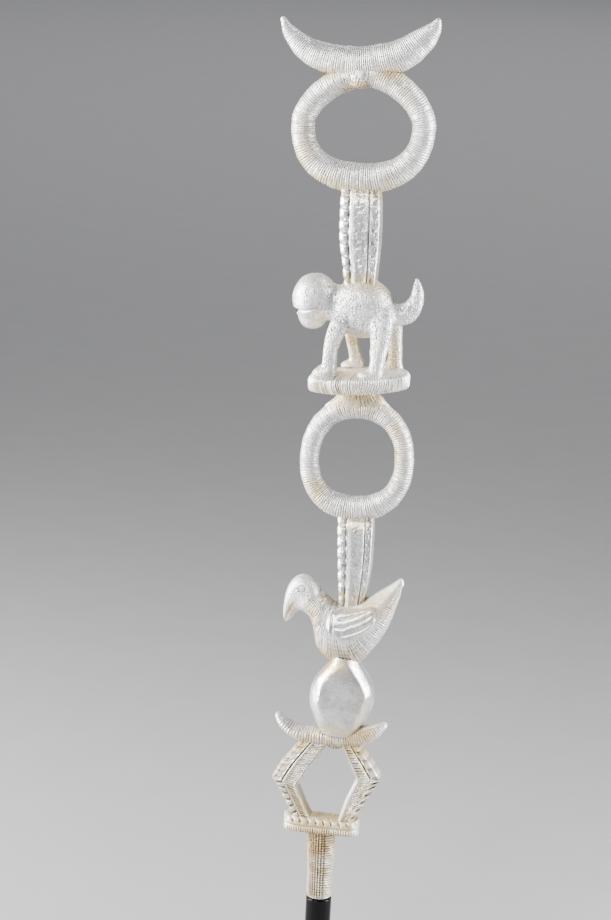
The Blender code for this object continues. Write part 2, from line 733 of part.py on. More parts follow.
CRESCENT_STATIONS = (
    (-59.8, 0, 38.2, 1.4, 1.6),
    (-52.5, 0, 26.4, 5.6, 4.8),
    (-38.0, 0, 14.6, 9.5, 8.0),
    (-18.0, 0, 9.1, 11.4, 9.8),
    (4.0, 0, 8.8, 12.0, 10.2),
    (28.0, 0, 15.0, 11.8, 9.8),
    (43.0, 0, 25.4, 10.0, 8.2),
    (52.3, 0, 35.2, 6.2, 5.2),
    (56.4, 0, 44.2, 1.4, 1.6),
)


def carve_crescent(carving):
    stations = on_grid(CRESCENT_STATIONS, CRESCENT_GRID, CRESCENT_SPAN, CRESCENT_X, CRESCENT_FOOT)
    carving.add("crescent", tube_rows(smooth(stations, 16), 10, 2.1))
    nub = (CRESCENT_X + 1.0, 0, CRESCENT_FOOT + 5.0 - NUB_HEIGHT / 2)
    nub_path = blob_path(nub, NUB_WIDTH / 2, NUB_HEIGHT / 2, NUB_DEPTH / 2, count=5)
    carving.add("nub", tube_rows(nub_path, 8))


def make_staff():
    carving = Carving("carved_staff", mesh_from_rows("tang", tang_rows()))
    carve_stool(carving)
    carving.add("egg", tube_rows(egg_path(10), 14))
    carve_bird(carving)
    carve_shafts(carving)
    carve_rings(carving)
    carve_monkey(carving)
    carve_crescent(carving)
    staff = carving.unite()
    staff.data.materials.append(finish((0.62, 0.6, 0.56), 0.42, 0.85, "metal_leaf"))
    return staff


def turned(name, outline, sides, material):
    """A round piece turned about Z from its half section, from the underside's middle to the top's."""
    angle = np.arange(sides) * 2 * math.pi / sides
    rows = [[(r * math.cos(a), r * math.sin(a), z) for a in angle] for r, z in outline]
    return show(mesh_from_rows(name, rows), name, material)


def make_stand():
    steel = finish((0.012, 0.012, 0.013), 0.28, 0.0, "black_enamel")
    foot_top = FOOT_THICKNESS
    foot = (
        (FOOT_RADIUS - FOOT_BEVEL / 2, 0),
        (FOOT_RADIUS, FOOT_BEVEL / 2),
        (FOOT_RADIUS, foot_top - FOOT_BEVEL),
        (FOOT_RADIUS - FOOT_BEVEL * 0.3, foot_top - FOOT_BEVEL * 0.3),
        (FOOT_RADIUS - FOOT_BEVEL, foot_top),
    )
    turned("stand_foot", foot, 40, steel)
    low = FOOT_THICKNESS + GAP
    high = low + ROD_LENGTH
    rod = (
        (ROD_RADIUS, low),
        (ROD_RADIUS, high - ROD_BEVEL),
        (ROD_RADIUS - ROD_BEVEL, high),
    )
    turned("stand_rod", rod, 24, steel)


def main():
    clear_scene()
    make_staff()
    make_stand()


main()
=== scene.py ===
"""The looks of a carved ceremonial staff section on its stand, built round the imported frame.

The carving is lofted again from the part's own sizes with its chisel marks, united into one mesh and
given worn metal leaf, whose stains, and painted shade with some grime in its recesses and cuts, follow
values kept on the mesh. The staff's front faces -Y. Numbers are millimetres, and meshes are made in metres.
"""

import json
import math

import bpy
import numpy as np
from mathutils import Matrix, Vector, noise
from mathutils.bvhtree import BVHTree
from mathutils.kdtree import KDTree

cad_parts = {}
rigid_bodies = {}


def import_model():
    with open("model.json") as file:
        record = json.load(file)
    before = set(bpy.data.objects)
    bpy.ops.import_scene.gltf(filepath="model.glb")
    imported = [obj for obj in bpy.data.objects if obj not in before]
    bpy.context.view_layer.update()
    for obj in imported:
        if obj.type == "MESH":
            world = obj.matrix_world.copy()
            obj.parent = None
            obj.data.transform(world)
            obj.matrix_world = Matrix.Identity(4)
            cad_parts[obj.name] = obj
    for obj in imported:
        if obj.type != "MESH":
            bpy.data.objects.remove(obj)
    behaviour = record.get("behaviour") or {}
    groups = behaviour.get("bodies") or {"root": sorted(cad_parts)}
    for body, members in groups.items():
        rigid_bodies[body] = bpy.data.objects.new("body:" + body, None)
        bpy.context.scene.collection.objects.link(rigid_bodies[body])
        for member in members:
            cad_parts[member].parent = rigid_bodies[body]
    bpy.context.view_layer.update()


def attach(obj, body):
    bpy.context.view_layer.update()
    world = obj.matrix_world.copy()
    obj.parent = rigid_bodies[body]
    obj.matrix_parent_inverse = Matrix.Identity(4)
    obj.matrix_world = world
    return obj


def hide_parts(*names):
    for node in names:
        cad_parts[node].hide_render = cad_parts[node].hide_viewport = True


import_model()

MM = 0.001
GAP = 0.3
SEED = 11
random = np.random.default_rng(SEED)

# Sizes of the part
FOOT_RADIUS = 75.0
FOOT_THICKNESS = 14.0
FOOT_BEVEL = 2.5
ROD_RADIUS = 9.8
ROD_LENGTH = 66.0
ROD_BEVEL = 0.6
TANG_LENGTH = 53.6
TANG_FOOT_RADIUS = 9.4
TANG_TOP_RADIUS = 10.8
TANG_BEVEL = 3.0
BASE_LENGTH = 58.4
BASE_HEIGHT = 11.2
BASE_DEPTH = 23.0
BASE_RISE = -0.004
BASE_X = -1.0
LEG_HEIGHT = 57.9
LEG_DEPTH = 16.5
SEAT_THICKNESS = 13.5
SEAT_X = 3.0
EGG_HEIGHT = 54.0
EGG_WIDTH = 49.0
EGG_DEPTH = 39.0
EGG_X = 9.7
EGG_LEAN = 3.4
BIRD_HEIGHT = 47.0
BIRD_X = 11.0
LOWER_SHAFT_LENGTH = 62.5
LOWER_SHAFT_WIDTH = 27.6
LOWER_SHAFT_DEPTH = 15.4
LOWER_SHAFT_X = 13.3
UPPER_SHAFT_LENGTH = 66.0
UPPER_SHAFT_WIDTH = 31.2
UPPER_SHAFT_DEPTH = 18.2
UPPER_SHAFT_X = 4.6
LOWER_RING_WIDTH = 71.8
LOWER_RING_RISE = 40.2
LOWER_RING_DROP = 36.7
LOWER_RING_SIDE = 7.3
LOWER_RING_TOP = 8.3
LOWER_RING_BOTTOM = 9.5
LOWER_RING_X = 11.2
LOWER_RING_LEAN = 1.0
NECK_WIDTH = 31.0
NECK_HEIGHT = 14.0
UPPER_RING_WIDTH = 89.7
UPPER_RING_RISE = 36.6
UPPER_RING_DROP = 40.0
UPPER_RING_SIDE = 8.75
UPPER_RING_TOP = 10.0
UPPER_RING_BOTTOM = 11.2
UPPER_RING_X = 2.9
UPPER_RING_LEAN = 1.9
PLINTH_LENGTH = 75.5
PLINTH_DEPTH = 56.0
PLINTH_BACK = 0.89
PLINTH_THICKNESS = 13.0
PLINTH_RISE = 0.09
PLINTH_X = 9.6
MONKEY_HEIGHT = 67.5
MONKEY_X = 9.6
CRESCENT_X = -2.0
CRESCENT_SINK = 0.9
NUB_HEIGHT = 15.0

# Levels of the part, from the foot's underside up
TANG_FOOT = FOOT_THICKNESS + GAP + ROD_LENGTH + GAP
BASE_FOOT = TANG_FOOT + TANG_LENGTH
BASE_TOP = BASE_FOOT + BASE_HEIGHT
SEAT_FOOT = BASE_TOP + LEG_HEIGHT
EGG_FOOT = SEAT_FOOT + SEAT_THICKNESS
BIRD_FOOT = EGG_FOOT + EGG_HEIGHT
LOWER_SHAFT_FOOT = BIRD_FOOT + BIRD_HEIGHT
LOWER_RING_FOOT = LOWER_SHAFT_FOOT + LOWER_SHAFT_LENGTH
LOWER_RING_MIDDLE = LOWER_RING_FOOT + LOWER_RING_BOTTOM + LOWER_RING_DROP
PLINTH_FOOT = LOWER_RING_MIDDLE + LOWER_RING_RISE + NECK_HEIGHT
PLINTH_TOP = PLINTH_FOOT + PLINTH_THICKNESS
UPPER_SHAFT_FOOT = PLINTH_TOP + MONKEY_HEIGHT
UPPER_RING_FOOT = UPPER_SHAFT_FOOT + UPPER_SHAFT_LENGTH
UPPER_RING_MIDDLE = UPPER_RING_FOOT + UPPER_RING_BOTTOM + UPPER_RING_DROP
CRESCENT_FOOT = UPPER_RING_MIDDLE + UPPER_RING_RISE - CRESCENT_SINK

# Chisel work: how far apart the cuts are, and how deep
HATCH_STEP = 0.86
HATCH_DEPTH = 0.29
CREST_STEP = 0.78
BAR_STEP = 0.9
BAR_DEPTH = 0.6
LEG_STEP = 0.56
SHAFT_STEP = 0.9
TICK_PITCH = 2.0
BEAD_PITCH = 9.0
NOTCH_PITCH = 6.0
PLINTH_CUTS = 122

# The grain of the monkey's skin, and the most triangles that the staff's mesh may have
VOXEL = 0.92
MOST_TRIANGLES = 198000


# Curves and lofts


def smooth(stations, count):
    """Count + 1 rows along the smooth curve through the stations, whatever their columns hold."""
    rows = np.array(stations, float)
    ends = np.vstack([2 * rows[0] - rows[1], rows, 2 * rows[-1] - rows[-2]])
    places = np.linspace(0, len(rows) - 1, count + 1)
    step = np.minimum(places.astype(int), len(rows) - 2)
    t = (places - step)[:, None]
    a, b, c, d = (ends[step + k] for k in range(4))
    return 0.5 * (2 * b + (c - a) * t + (2 * a - 5 * b + 4 * c - d) * t**2 + (3 * b - a - 3 * c + d) * t**3)


def rounded(value, power):
    """A cosine or sine bent so that its circle becomes a superellipse of that power."""
    return np.sign(value) * np.abs(value) ** (2 / power)


def clamp(value):
    return np.clip(value, 0, 1)


def ease(value, low, high):
    """0 below low and 1 above high, with a smooth change between them."""
    t = clamp((value - low) / (high - low))
    return t * t * (3 - 2 * t)


def bell(value, middle, width):
    """1 where the value is at the middle, and nearly 0 from twice the width away."""
    return np.exp(-(((value - middle) / width) ** 2))


def turns(count):
    """Angles at even steps round a circle."""
    return np.arange(count) * 2 * math.pi / count


def grid(x, y, z):
    """Rows of points from their coordinates, each of which may be the same along the rows or across them."""
    return np.stack(np.broadcast_arrays(x, y, z), 2)


def lump(points, size):
    """Smooth noise at each point, from about -1 to 1, whose swells are about that size."""
    flat = np.reshape(points, (-1, 3))
    values = [noise.noise(Vector(point) / size) for point in flat]
    return np.reshape(values, np.shape(points)[:-1])


def reach_along(path):
    """How far along the path each of its points lies."""
    steps = np.linalg.norm(np.diff(path, axis=0), axis=1)
    return np.concatenate([[0], np.cumsum(steps)])


def looked_up(places, reach, table):
    """The table's rows at these places, where the reach gives the place of each of its own rows."""
    return np.stack([np.interp(places, reach, column) for column in table.T], 1)


def resampled(table, reach, spacing):
    """The table's rows at equal steps of the reach, an even number of steps."""
    count = 2 * round(reach[-1] / spacing / 2)
    places = np.linspace(0, reach[-1], count + 1)
    return looked_up(places, reach, table)


def even(path, spacing, closed=False):
    """The path sampled again at equal steps, an even number of them."""
    path = np.vstack([path, path[:1]]) if closed else np.asarray(path)
    rows = resampled(path, reach_along(path[:, :3]), spacing)
    return rows[:-1] if closed else rows


def rounded_ends(path, reach):
    """The path with its half sizes drawn in to a round tip within reach of each end."""
    along = reach_along(path[:, :3])
    near = clamp(np.minimum(along, along[-1] - along) / reach)
    share = np.maximum(np.sqrt(1 - (1 - near) ** 2), 0.12)
    path = path.copy()
    path[:, 3:] *= share[:, None]
    return path


def directions(path, closed=False):
    """Unit vectors along a path in the XZ plane, and across it."""
    if closed:
        ahead, behind = np.roll(path, -1, 0), np.roll(path, 1, 0)
    else:
        ahead, behind = np.vstack([path[1:], path[-1]]), np.vstack([path[0], path[:-1]])
    along = (ahead - behind)[:, :3] * (1, 0, 1)
    along /= np.linalg.norm(along, axis=1)[:, None]
    across = np.stack([-along[:, 2], 0 * along[:, 1], along[:, 0]], 1)
    return along, across


def tube_rows(path, sides, power=2.0, closed=False):
    """Rings of points round a path. Each path row is x, y, z, half height in XZ and half depth in Y."""
    path = np.asarray(path, float)
    across = directions(path, closed)[1]
    height = path[:, 3:4] * rounded(np.cos(turns(sides)), power)
    rows = path[:, None, :3] + across[:, None] * height[..., None]
    rows[..., 1] += path[:, 4:5] * rounded(np.sin(turns(sides)), power)
    return rows


def blob_path(centre, half_length, half_height, half_depth, rise=0.0, count=24):
    """A path whose tube is an ellipsoid, lying along X and turned up by rise radians."""
    rows = []
    for k in range(count + 1):
        angle = math.pi * (k + 0.35) / (count + 0.7)
        reach = -half_length * math.cos(angle)
        width = math.sin(angle)
        x = centre[0] + reach * math.cos(rise)
        z = centre[2] + reach * math.sin(rise)
        rows.append((x, centre[1], z, half_height * width, half_depth * width))
    return rows


def placed(stations, x, z):
    """Stations drawn round a figure's own foot, at its place."""
    rows = np.array(stations, float)
    rows[:, 0] += x
    rows[:, 2] += z
    return rows


def wander(rows, sides, blur=5):
    """Random values about 1 that change slowly along each row."""
    values = random.random((rows, sides))
    total = sum(np.roll(values, k, 1) for k in range(blur)) / blur
    return 1 + 2.4 * (total - 0.5)


def speck(rows, sides, blur, low, high):
    """How deep each cut goes, a little uneven, from low to high."""
    return np.clip(wander(rows, sides, blur), low, high)


def sunk(rows, centres, depth):
    """Rows of points moved towards their centres."""
    inward = centres[:, None, :3] - rows
    inward /= np.maximum(np.linalg.norm(inward, axis=2), 1e-6)[..., None]
    return rows + inward * depth[..., None]


def hatched_tube(path, sides, power=2.0, closed=False, depth=HATCH_DEPTH):
    """A tube with a cut across it at every second row, each a little uneven, as a hand cuts them."""
    rows = tube_rows(path, sides, power, closed)
    along = directions(path, closed)[0]
    count = len(path)
    shift = random.uniform(-1, 1, (count, 1)) * 0.08 * np.ones(sides)
    shift += random.uniform(-1, 1, (count, 1)) * 0.1 * np.cos(turns(sides))
    if not closed:
        shift[[0, -1]] = 0
    rows = rows + along[:, None] * shift[..., None]
    thick = path[:, 3:4]
    cut = np.zeros((count, sides))
    cut[1::2] = np.clip(0.15 + wander(count, sides, 4), 0.35, 1.35)[1::2]
    cut *= ease(thick, 0.8, 3.5)
    return sunk(rows, path, cut * depth + lump(rows, 7.0) * 0.4 * ease(thick, 2, 6)), cut


def joined(front, back):
    """A form's front and back, each with its cuts, as one tube."""
    return tuple(np.concatenate([ahead, behind[:, ::-1]], 1) for ahead, behind in zip(front, back))


# Meshes


def quads(count, sides, closed):
    """Faces between rings of points, each wound the same way."""
    faces = []
    for i in range(count if closed else count - 1):
        low, high = i * sides, (i + 1) % count * sides
        for j in range(sides):
            k = (j + 1) % sides
            faces.append((low + j, low + k, high + k, high + j))
    if not closed:
        faces.append(tuple(reversed(range(sides))))
        faces.append(tuple(range((count - 1) * sides, count * sides)))
    return faces


def loft(rows, closed=False):
    """The points and the faces of a form, from rows of points that lie round it."""
    rows = np.asarray(rows, float)
    return rows.reshape(-1, 3), quads(*rows.shape[:2], closed)


def outward(points, faces):
    """The faces, all turned round if they would face into the form."""
    points = points - points.mean(0)
    sample = np.array([f[:3] for f in faces])
    a, b, c = points[sample[:, 0]], points[sample[:, 1]], points[sample[:, 2]]
    fourth = np.array([f[3] if len(f) > 3 else f[2] for f in faces])
    d = points[fourth]
    size = (a * np.cross(b, c)).sum() + (a * np.cross(c, d)).sum()
    return [tuple(reversed(face)) for face in faces] if size < 0 else faces


def mesh_of(name, points, faces):
    """A mesh in metres of points in millimetres."""
    mesh = bpy.data.meshes.new(name)
    mesh.from_pydata((points * MM).tolist(), [], outward(points, faces))
    return mesh


def in_scene(name, data):
    """A new object that shows this mesh, light or camera."""
    thing = bpy.data.objects.new(name, data)
    bpy.context.scene.collection.objects.link(thing)
    return thing


def applied(thing):
    """The object's mesh as its modifiers leave it."""
    graph = bpy.context.evaluated_depsgraph_get()
    return bpy.data.meshes.new_from_object(thing.evaluated_get(graph))


def places_in(mesh):
    places = np.zeros(len(mesh.vertices) * 3)
    mesh.vertices.foreach_get("co", places)
    return places.reshape(-1, 3)


class Carving:
    """Forms that become one mesh, with values kept at each of their points for the finish."""

    def __init__(self):
        self.added = bpy.data.collections.new("added_forms")
        self.cutters = bpy.data.collections.new("cut_forms")
        for group in (self.added, self.cutters):
            bpy.context.scene.collection.children.link(group)
        self.marks = []

    def add_points(self, name, points, faces, cut=0.0, leaf=0.0, dots=0.12):
        """Leaf is how free of cuts the surface is, and dots how strongly it is punched, from 0 to 1."""
        values = [np.broadcast_to(np.ravel(value), len(points)) for value in (cut, leaf, dots)]
        self.marks.append(np.column_stack([points, *values]))
        self.added.objects.link(bpy.data.objects.new(name, mesh_of(name, points, faces)))

    def add(self, name, rows, cut=0.0, closed=False, **marks):
        self.add_points(name, *loft(rows, closed), cut, **marks)

    def cut(self, name, rows, closed=False):
        self.cutters.objects.link(bpy.data.objects.new(name, mesh_of(name, *loft(rows, closed))))

    def unite(self):
        """One mesh of all the forms, less the cutters, with fewer triangles where it is nearly flat."""
        body = self.added.objects[0]
        self.added.objects.unlink(body)
        bpy.context.scene.collection.objects.link(body)
        for group, operation in ((self.added, "UNION"), (self.cutters, "DIFFERENCE")):
            step = body.modifiers.new(group.name, "BOOLEAN")
            step.operation = operation
            step.solver = "MANIFOLD"
            step.operand_type = "COLLECTION"
            step.collection = group
        whole = applied(body)
        triangles = sum(len(face.vertices) - 2 for face in whole.polygons)
        body.modifiers.clear()
        body.data = whole
        thin = body.modifiers.new("thin", "DECIMATE")
        thin.ratio = min(1.0, MOST_TRIANGLES / triangles)
        mesh = applied(body)
        for group in (self.added, self.cutters):
            for thing in list(group.objects):
                bpy.data.objects.remove(thing)
            bpy.data.collections.remove(group)
        bpy.data.objects.remove(body)
        return mesh


def flank_of(points, faces):
    """The y that a ray along Y meets first on these faces, in millimetres, from the front or the back."""
    tree = BVHTree.FromPolygons([Vector(point) for point in points], faces)
    outside = 200.0

    def depth(x, z, side):
        found = tree.ray_cast(Vector((x, side * outside, z)), Vector((0, -side, 0)))[0]
        return found.y if found is not None else 0.0

    return depth


# Tang and stool


def tang():
    """A round tang: crisp ticks across its right side, softer ones elsewhere, grooves up its front."""
    sides, step = 60, 0.5
    whole = TANG_LENGTH + BASE_HEIGHT * 0.4
    count = round(whole / step)
    level = np.linspace(0, whole, count + 1)[:, None]
    radius = TANG_FOOT_RADIUS + (TANG_TOP_RADIUS - TANG_FOOT_RADIUS) * clamp(level / TANG_LENGTH)
    radius -= TANG_BEVEL * 0.7 * (1 - np.sqrt(1 - (1 - clamp(level / TANG_BEVEL)) ** 2))
    radius -= TANG_TOP_RADIUS * 0.2 * ease(level, TANG_LENGTH + BASE_HEIGHT * 0.2, whole)
    angle = turns(sides)
    turn = (np.degrees(angle) + 80 + 180) % 360 - 180
    turn = np.where(np.abs(turn) > 100, (turn + 360) % 360 - 180, turn)
    ticks = ease(turn, 2, 10) * ease(-turn, -86, -70)
    grooves = sum(bell(turn, place, 3.4) for place in range(-82, 15, 12))
    phase = level / TICK_PITCH + 0.1 * np.sin(2 * angle + level / 9) + 0.05 * wander(count + 1, sides)
    line = clamp(np.cos(2 * math.pi * phase) * 2.2 - 0.4)
    cut = line * (0.75 + 0.25 * ticks) * speck(count + 1, sides, 7, 0.5, 1.4)
    cut = np.maximum(cut, grooves * np.clip(0.85 + 0.5 * wander(count + 1, sides, 3), 0.5, 1.2))
    cut *= ease(level, 0.5, 3)
    crumbs = ease(level, TANG_LENGTH - 15, TANG_LENGTH - 3)
    spots = grid(3.4 * np.cos(angle), 3.4 * np.sin(angle), level / 2.6)
    reach = radius - cut * 0.7 + lump(spots, 0.625) * (0.18 + 0.45 * crumbs) + lump(spots, 2) * 0.3
    x = BASE_X / 2 * level / TANG_LENGTH + reach * np.cos(angle)
    return grid(x, reach * np.sin(angle), TANG_FOOT + level), cut * 1.7


# The front half of the base's section: half depth, level, and how strongly it is cut
BASE_SECTION = (
    (0.0, 0.0, 0.0),
    (0.62, 0.0, 0.0),
    (0.9, 0.03, 0.3),
    (0.985, 0.12, 1.0),
    (1.0, 0.22, 1.0),
    (0.985, 0.33, 1.0),
    (0.94, 0.41, 0.5),
    (0.88, 0.455, 0.0),
    (0.94, 0.5, 0.0),
    (0.985, 0.57, 0.0),
    (1.0, 0.65, 0.0),
    (1.0, 0.74, 0.0),
    (0.985, 0.83, 0.0),
    (0.95, 0.91, 0.0),
    (0.89, 0.98, 0.0),
    (0.8, 1.03, 0.5),
    (0.66, 1.06, 0.7),
    (0.46, 1.09, 0.7),
    (0.22, 1.1, 0.7),
    (0.0, 1.1, 0.5),
)


def base():
    """A thick slab with two ridges round its edge: notches in the upper one, fine cuts in the lower."""
    front = np.array(BASE_SECTION)
    y, z, fine = np.vstack([front * (-1, 1, 1), front[-2:0:-1]]).T
    rim_side = np.abs(y) > 0.75
    slices = 128
    share = np.linspace(-1, 1, slices + 1)[:, None]
    plan = np.maximum((1 - np.abs(share) ** np.where(share < 0, 5.5, 9.0)) ** 0.5, 0.12)
    x = BASE_X + share * BASE_LENGTH / 2
    turn = ((x + (z - 0.73) * BASE_HEIGHT * 0.6) / NOTCH_PITCH) % 1
    notch = clamp(1 - np.abs(turn - 0.5) / 0.26) * speck(slices + 1, len(y), 9, 0.7, 1.2)
    notch = notch * bell(z, 0.86, 0.16) * rim_side
    groove = np.array((0.0, 0.35, 1.0, 0.35))[np.arange(slices + 1) % 4][:, None]
    cut = groove * fine * speck(slices + 1, len(y), 5, 0.3, 1.5) * ease(plan, 0.3, 0.8)
    ys = y * BASE_DEPTH / 2 * plan - np.sign(y) * (cut * 0.55 + notch * 1.7) * rim_side
    zs = BASE_FOOT + BASE_RISE * (x - BASE_X) + z * BASE_HEIGHT
    zs = zs - cut * 0.4 * (z > 1) - notch * 1.3 * (z > 0.7)
    zs = zs + lump(grid(x, y * 10, 3.0), 3.2) * 0.55 * (z > 0.95)
    return grid(x, ys, zs), cut + 0.8 * notch


# Leg edges: x from the seat's middle, and height as a share of the legs' height
LEFT_LEG_OUTER = ((-23.6, -0.06), (-39.9, 0.43), (-43.6, 0.52), (-37.9, 0.71), (-21.3, 1.08))
LEFT_LEG_INNER = ((-10.4, -0.06), (-18.6, 0.24), (-23.0, 0.42), (-12.6, 0.73), (0.6, 1.08))
RIGHT_LEG_OUTER = ((19.3, -0.06), (37.6, 0.52), (40.9, 0.63), (33.0, 0.82), (19.8, 1.08))
RIGHT_LEG_INNER = ((8.4, -0.06), (14.2, 0.3), (21.7, 0.606), (16.5, 0.79), (8.9, 1.08))

# The knee's place among those stations
KNEE = 2.0

# Places across a leg from its outer edge to its inner one, and the share of its half depth at each
LEG_ACROSS = (
    (0, 0.03, 0.08, 0.14, 0.2, 0.26, 0.31, 0.35, 0.38, 0.4, 0.425, 0.46)
    + (0.51, 0.56, 0.61, 0.66, 0.71, 0.76, 0.8, 0.84, 0.88, 0.92, 0.965, 1.0)
)
LEG_RELIEF = (
    (0.6, 0.84, 0.96, 0.99, 1.0, 1.0, 0.995, 0.99, 0.98, 0.98, 0.98, 0.985)
    + (0.985, 0.97, 0.96, 0.96, 0.96, 0.96, 0.965, 0.97, 0.98, 0.97, 0.9, 0.55)
)


def beads(along, across, pitch, reach, deep):
    """Slanting beads along the outer edge, with a wide cut between each two."""
    turn = ((along - across * 9) / pitch) % 1
    valley = clamp(1.3 - np.minimum(turn, 1 - turn) / 0.17)
    return valley * ease(reach - across, -0.02, 0.05) * deep, valley * ease(0.2 - across, 0, 0.12) * 1.5


def scored(_, across, place, deep, width=0.02):
    """A line cut along the leg."""
    return bell(across, place, width) * deep, 0.0


def notches(along, across, pitch, reach, deep):
    """Saw notches in the outer edge."""
    saw = clamp(1 - ((along / pitch) % 1) / 0.6) * ease(reach - across, 0, 0.09)
    return saw * deep, saw * 2.0


def facets(along, across, pitch, reach, deep):
    """Wide flat cuts along the outer band."""
    scoop = clamp(((along / pitch + across * 0.6) % 1) * 1.15) ** 1.4
    return scoop * ease(reach - across, 0, 0.06) * deep, 0.0


def net(along, across, start, stop, deep):
    """Fine lines across, crossed by finer ones along."""
    line = np.array((0.0, 0.3, 1.0))[np.arange(len(along)) % 3][:, None]
    column = np.arange(len(across)) % 2
    on = ease(across, start - 0.03, start) * ease(stop - across, -0.03, 0)
    cut = (line * (0.75 + 0.25 * column) + column * 0.3) * on
    return cut * speck(len(along), len(across), 5, 0.5, 1.4) * deep, 0.0


def bars(along, across, start, stop, deep):
    """Bold cuts across the inner band."""
    line = np.array((0.0, 0.5, 1.0, 0.35))[np.arange(len(along)) % 4][:, None]
    on = ease(across, start - 0.03, start + 0.02) * ease(stop - across, -0.03, 0.02)
    return line * on * speck(len(along), len(across), 6, 0.5, 1.4) * deep, 0.0


def leg(outer, inner, low_marks, high_marks):
    """A bent band with marks below and above its knee. A mark gives its depth and its reach inward."""
    across = np.array(LEG_ACROSS)
    outer, inner = np.array(outer), np.array(inner)
    reach = reach_along((outer + inner) / 2 * (1, LEG_HEIGHT))
    counts = np.maximum(2 * np.round(np.diff(reach) / LEG_STEP / 2), 2).astype(int)
    places = np.concatenate([k + np.arange(n) / n for k, n in enumerate(counts)] + [[len(counts)]])
    stations = np.arange(len(outer))
    start, end = looked_up(places, stations, outer), looked_up(places, stations, inner)
    along = np.interp(places, stations, reach)[:, None]
    knee = np.interp(KNEE, stations, reach)
    lower = 1 - ease(along, knee - 1.5, knee + 1.5)
    inside = ease(along, 0, 3) * ease(along[-1] - along, 0, 3)
    width = np.linalg.norm((end - start) * (1, LEG_HEIGHT), axis=1)[:, None]
    halves = []
    for side in (-1, 1):
        deep, drawn = np.zeros((2, len(places), len(across)))
        for share, marks in ((lower, low_marks), (1 - lower, high_marks)):
            for mark, *sizes in marks:
                pressed, inward = mark(along, across, *sizes)
                deep += pressed * share
                drawn += inward * share
        deep *= inside
        xz = start[:, None] + (end - start)[:, None] * (across + drawn * inside / width)[..., None]
        y = side * (np.array(LEG_RELIEF) * LEG_DEPTH / 2 - deep)
        rows = grid(SEAT_X + xz[..., 0], y, BASE_TOP + xz[..., 1] * LEG_HEIGHT)
        halves.append((rows, np.clip(deep / np.interp(across, (0.34, 0.44), (1.15, 0.75)), 0, 1.6)))
    return joined(*halves)


SEAT_STATIONS = (
    (-43.0, 0, 21.7, 1.6, 3.0),
    (-40.2, 0, 17.2, 2.9, 6.2),
    (-35.0, 0, 12.3, 4.0, 8.6),
    (-27.9, 0, 8.6, 4.9, 9.8),
    (-18.5, 0, 6.9, 5.5, 10.3),
    (-3.0, 0, 6.5, 6.3, 10.5),
    (12.0, 0, 7.3, 6.9, 10.5),
    (23.3, 0, 9.7, 7.0, 10.2),
    (32.7, 0, 14.0, 5.7, 8.8),
    (39.4, 0, 18.8, 3.3, 5.7),
    (42.4, 0, 21.3, 1.7, 3.0),
)


def seat():
    """The curved seat, barred boldly at its left and more finely at its right."""
    sides = 28
    path = rounded_ends(even(smooth(placed(SEAT_STATIONS, SEAT_X, SEAT_FOOT), 300), LEG_STEP), 1.8)
    x = path[:, :1] - SEAT_X
    phase = np.cumsum(LEG_STEP / np.interp(x, (-25, 5), (2.3, 1.8)))[:, None]
    line = clamp(np.cos(2 * math.pi * (phase + 0.05 * wander(len(path), sides, 9))) * 1.5 - 0.1)
    under = 1 - 0.75 * ease(np.cos(turns(sides)), 0.35, 0.8) * ease(x, 14, 26)
    bold = np.interp(x, (-20, 10), (1.0, 0.7)) * ease(path[:, 3:4], 1.6, 3.6)
    cut = line * bold * under * speck(len(path), sides, 5, 0.4, 1.35)
    return sunk(tube_rows(path, sides, 2.5), path, cut * BAR_DEPTH), cut


# Each leg's marks below and above its knee
LEFT_LOW = ((beads, 4.9, 0.4, 2.0), (scored, 0.43, 1.0), (bars, 0.53, 0.84, 0.9))
LEFT_HIGH = (
    (scored, 0.4, 2.0),
    (scored, 0.47, -0.5),
    (facets, 6.4, 0.36, 1.0),
    (net, 0.52, 0.95, 0.7),
    (net, 0.03, 0.2, 0.6),
)
RIGHT_LOW = ((notches, 6.0, 0.24, 2.4), (net, 0.2, 0.74, 0.75), (scored, 0.83, -0.5, 0.035))
RIGHT_HIGH = (
    (scored, 0.4, 1.8),
    (scored, 0.47, -0.6, 0.03),
    (facets, 7.6, 0.36, 1.3),
    (bars, 0.54, 0.84, 0.9),
)


def carve_stool(carving):
    carving.add("tang", *tang(), dots=0.0)
    carving.add("base", *base(), dots=0.0)
    carving.add("left_leg", *leg(LEFT_LEG_OUTER, LEFT_LEG_INNER, LEFT_LOW, LEFT_HIGH), dots=0.0)
    carving.add("right_leg", *leg(RIGHT_LEG_OUTER, RIGHT_LEG_INNER, RIGHT_LOW, RIGHT_HIGH), dots=0.0)
    carving.add("seat", *seat(), dots=0.0)
    boss = even(blob_path((SEAT_X + 3.5, 0, SEAT_FOOT + 2.0), 8.0, 4.8, 7.5, count=60), BAR_STEP)
    carving.add("seat_boss", *hatched_tube(boss, 20, depth=0.5))


# Egg and bird

# The egg's levels and its width at each, as shares of its own
EGG_SECTION = (
    ((-0.05, 0.5), (0.13, 0.755), (0.26, 0.9), (0.39, 0.985), (0.5, 1.0))
    + ((0.62, 0.955), (0.745, 0.845), (0.875, 0.64), (0.985, 0.46), (1.08, 0.38))
)

# The egg's other flats: the way each faces, its distance from the middle and how much of it shows
EGG_FLATS = (
    (-0.8, -0.55, 0.12, 21.6, 0.5),
    (0.75, -0.62, 0.5, 22.0, 0.5),
    (0.9, -0.42, -0.3, 21.6, 0.7),
    (0.1, 1.0, 0.0, 16.4, 0.85),
    (0.8, 0.6, 0.1, 21.4, 0.6),
    (-0.8, 0.6, 0.0, 21.4, 0.6),
)


def shaved(over):
    """How far a knife moves the points that stand over its flat, with a soft edge to the flat."""
    return np.where(over > 1.0, over - 0.5, clamp(over) ** 2 / 2)


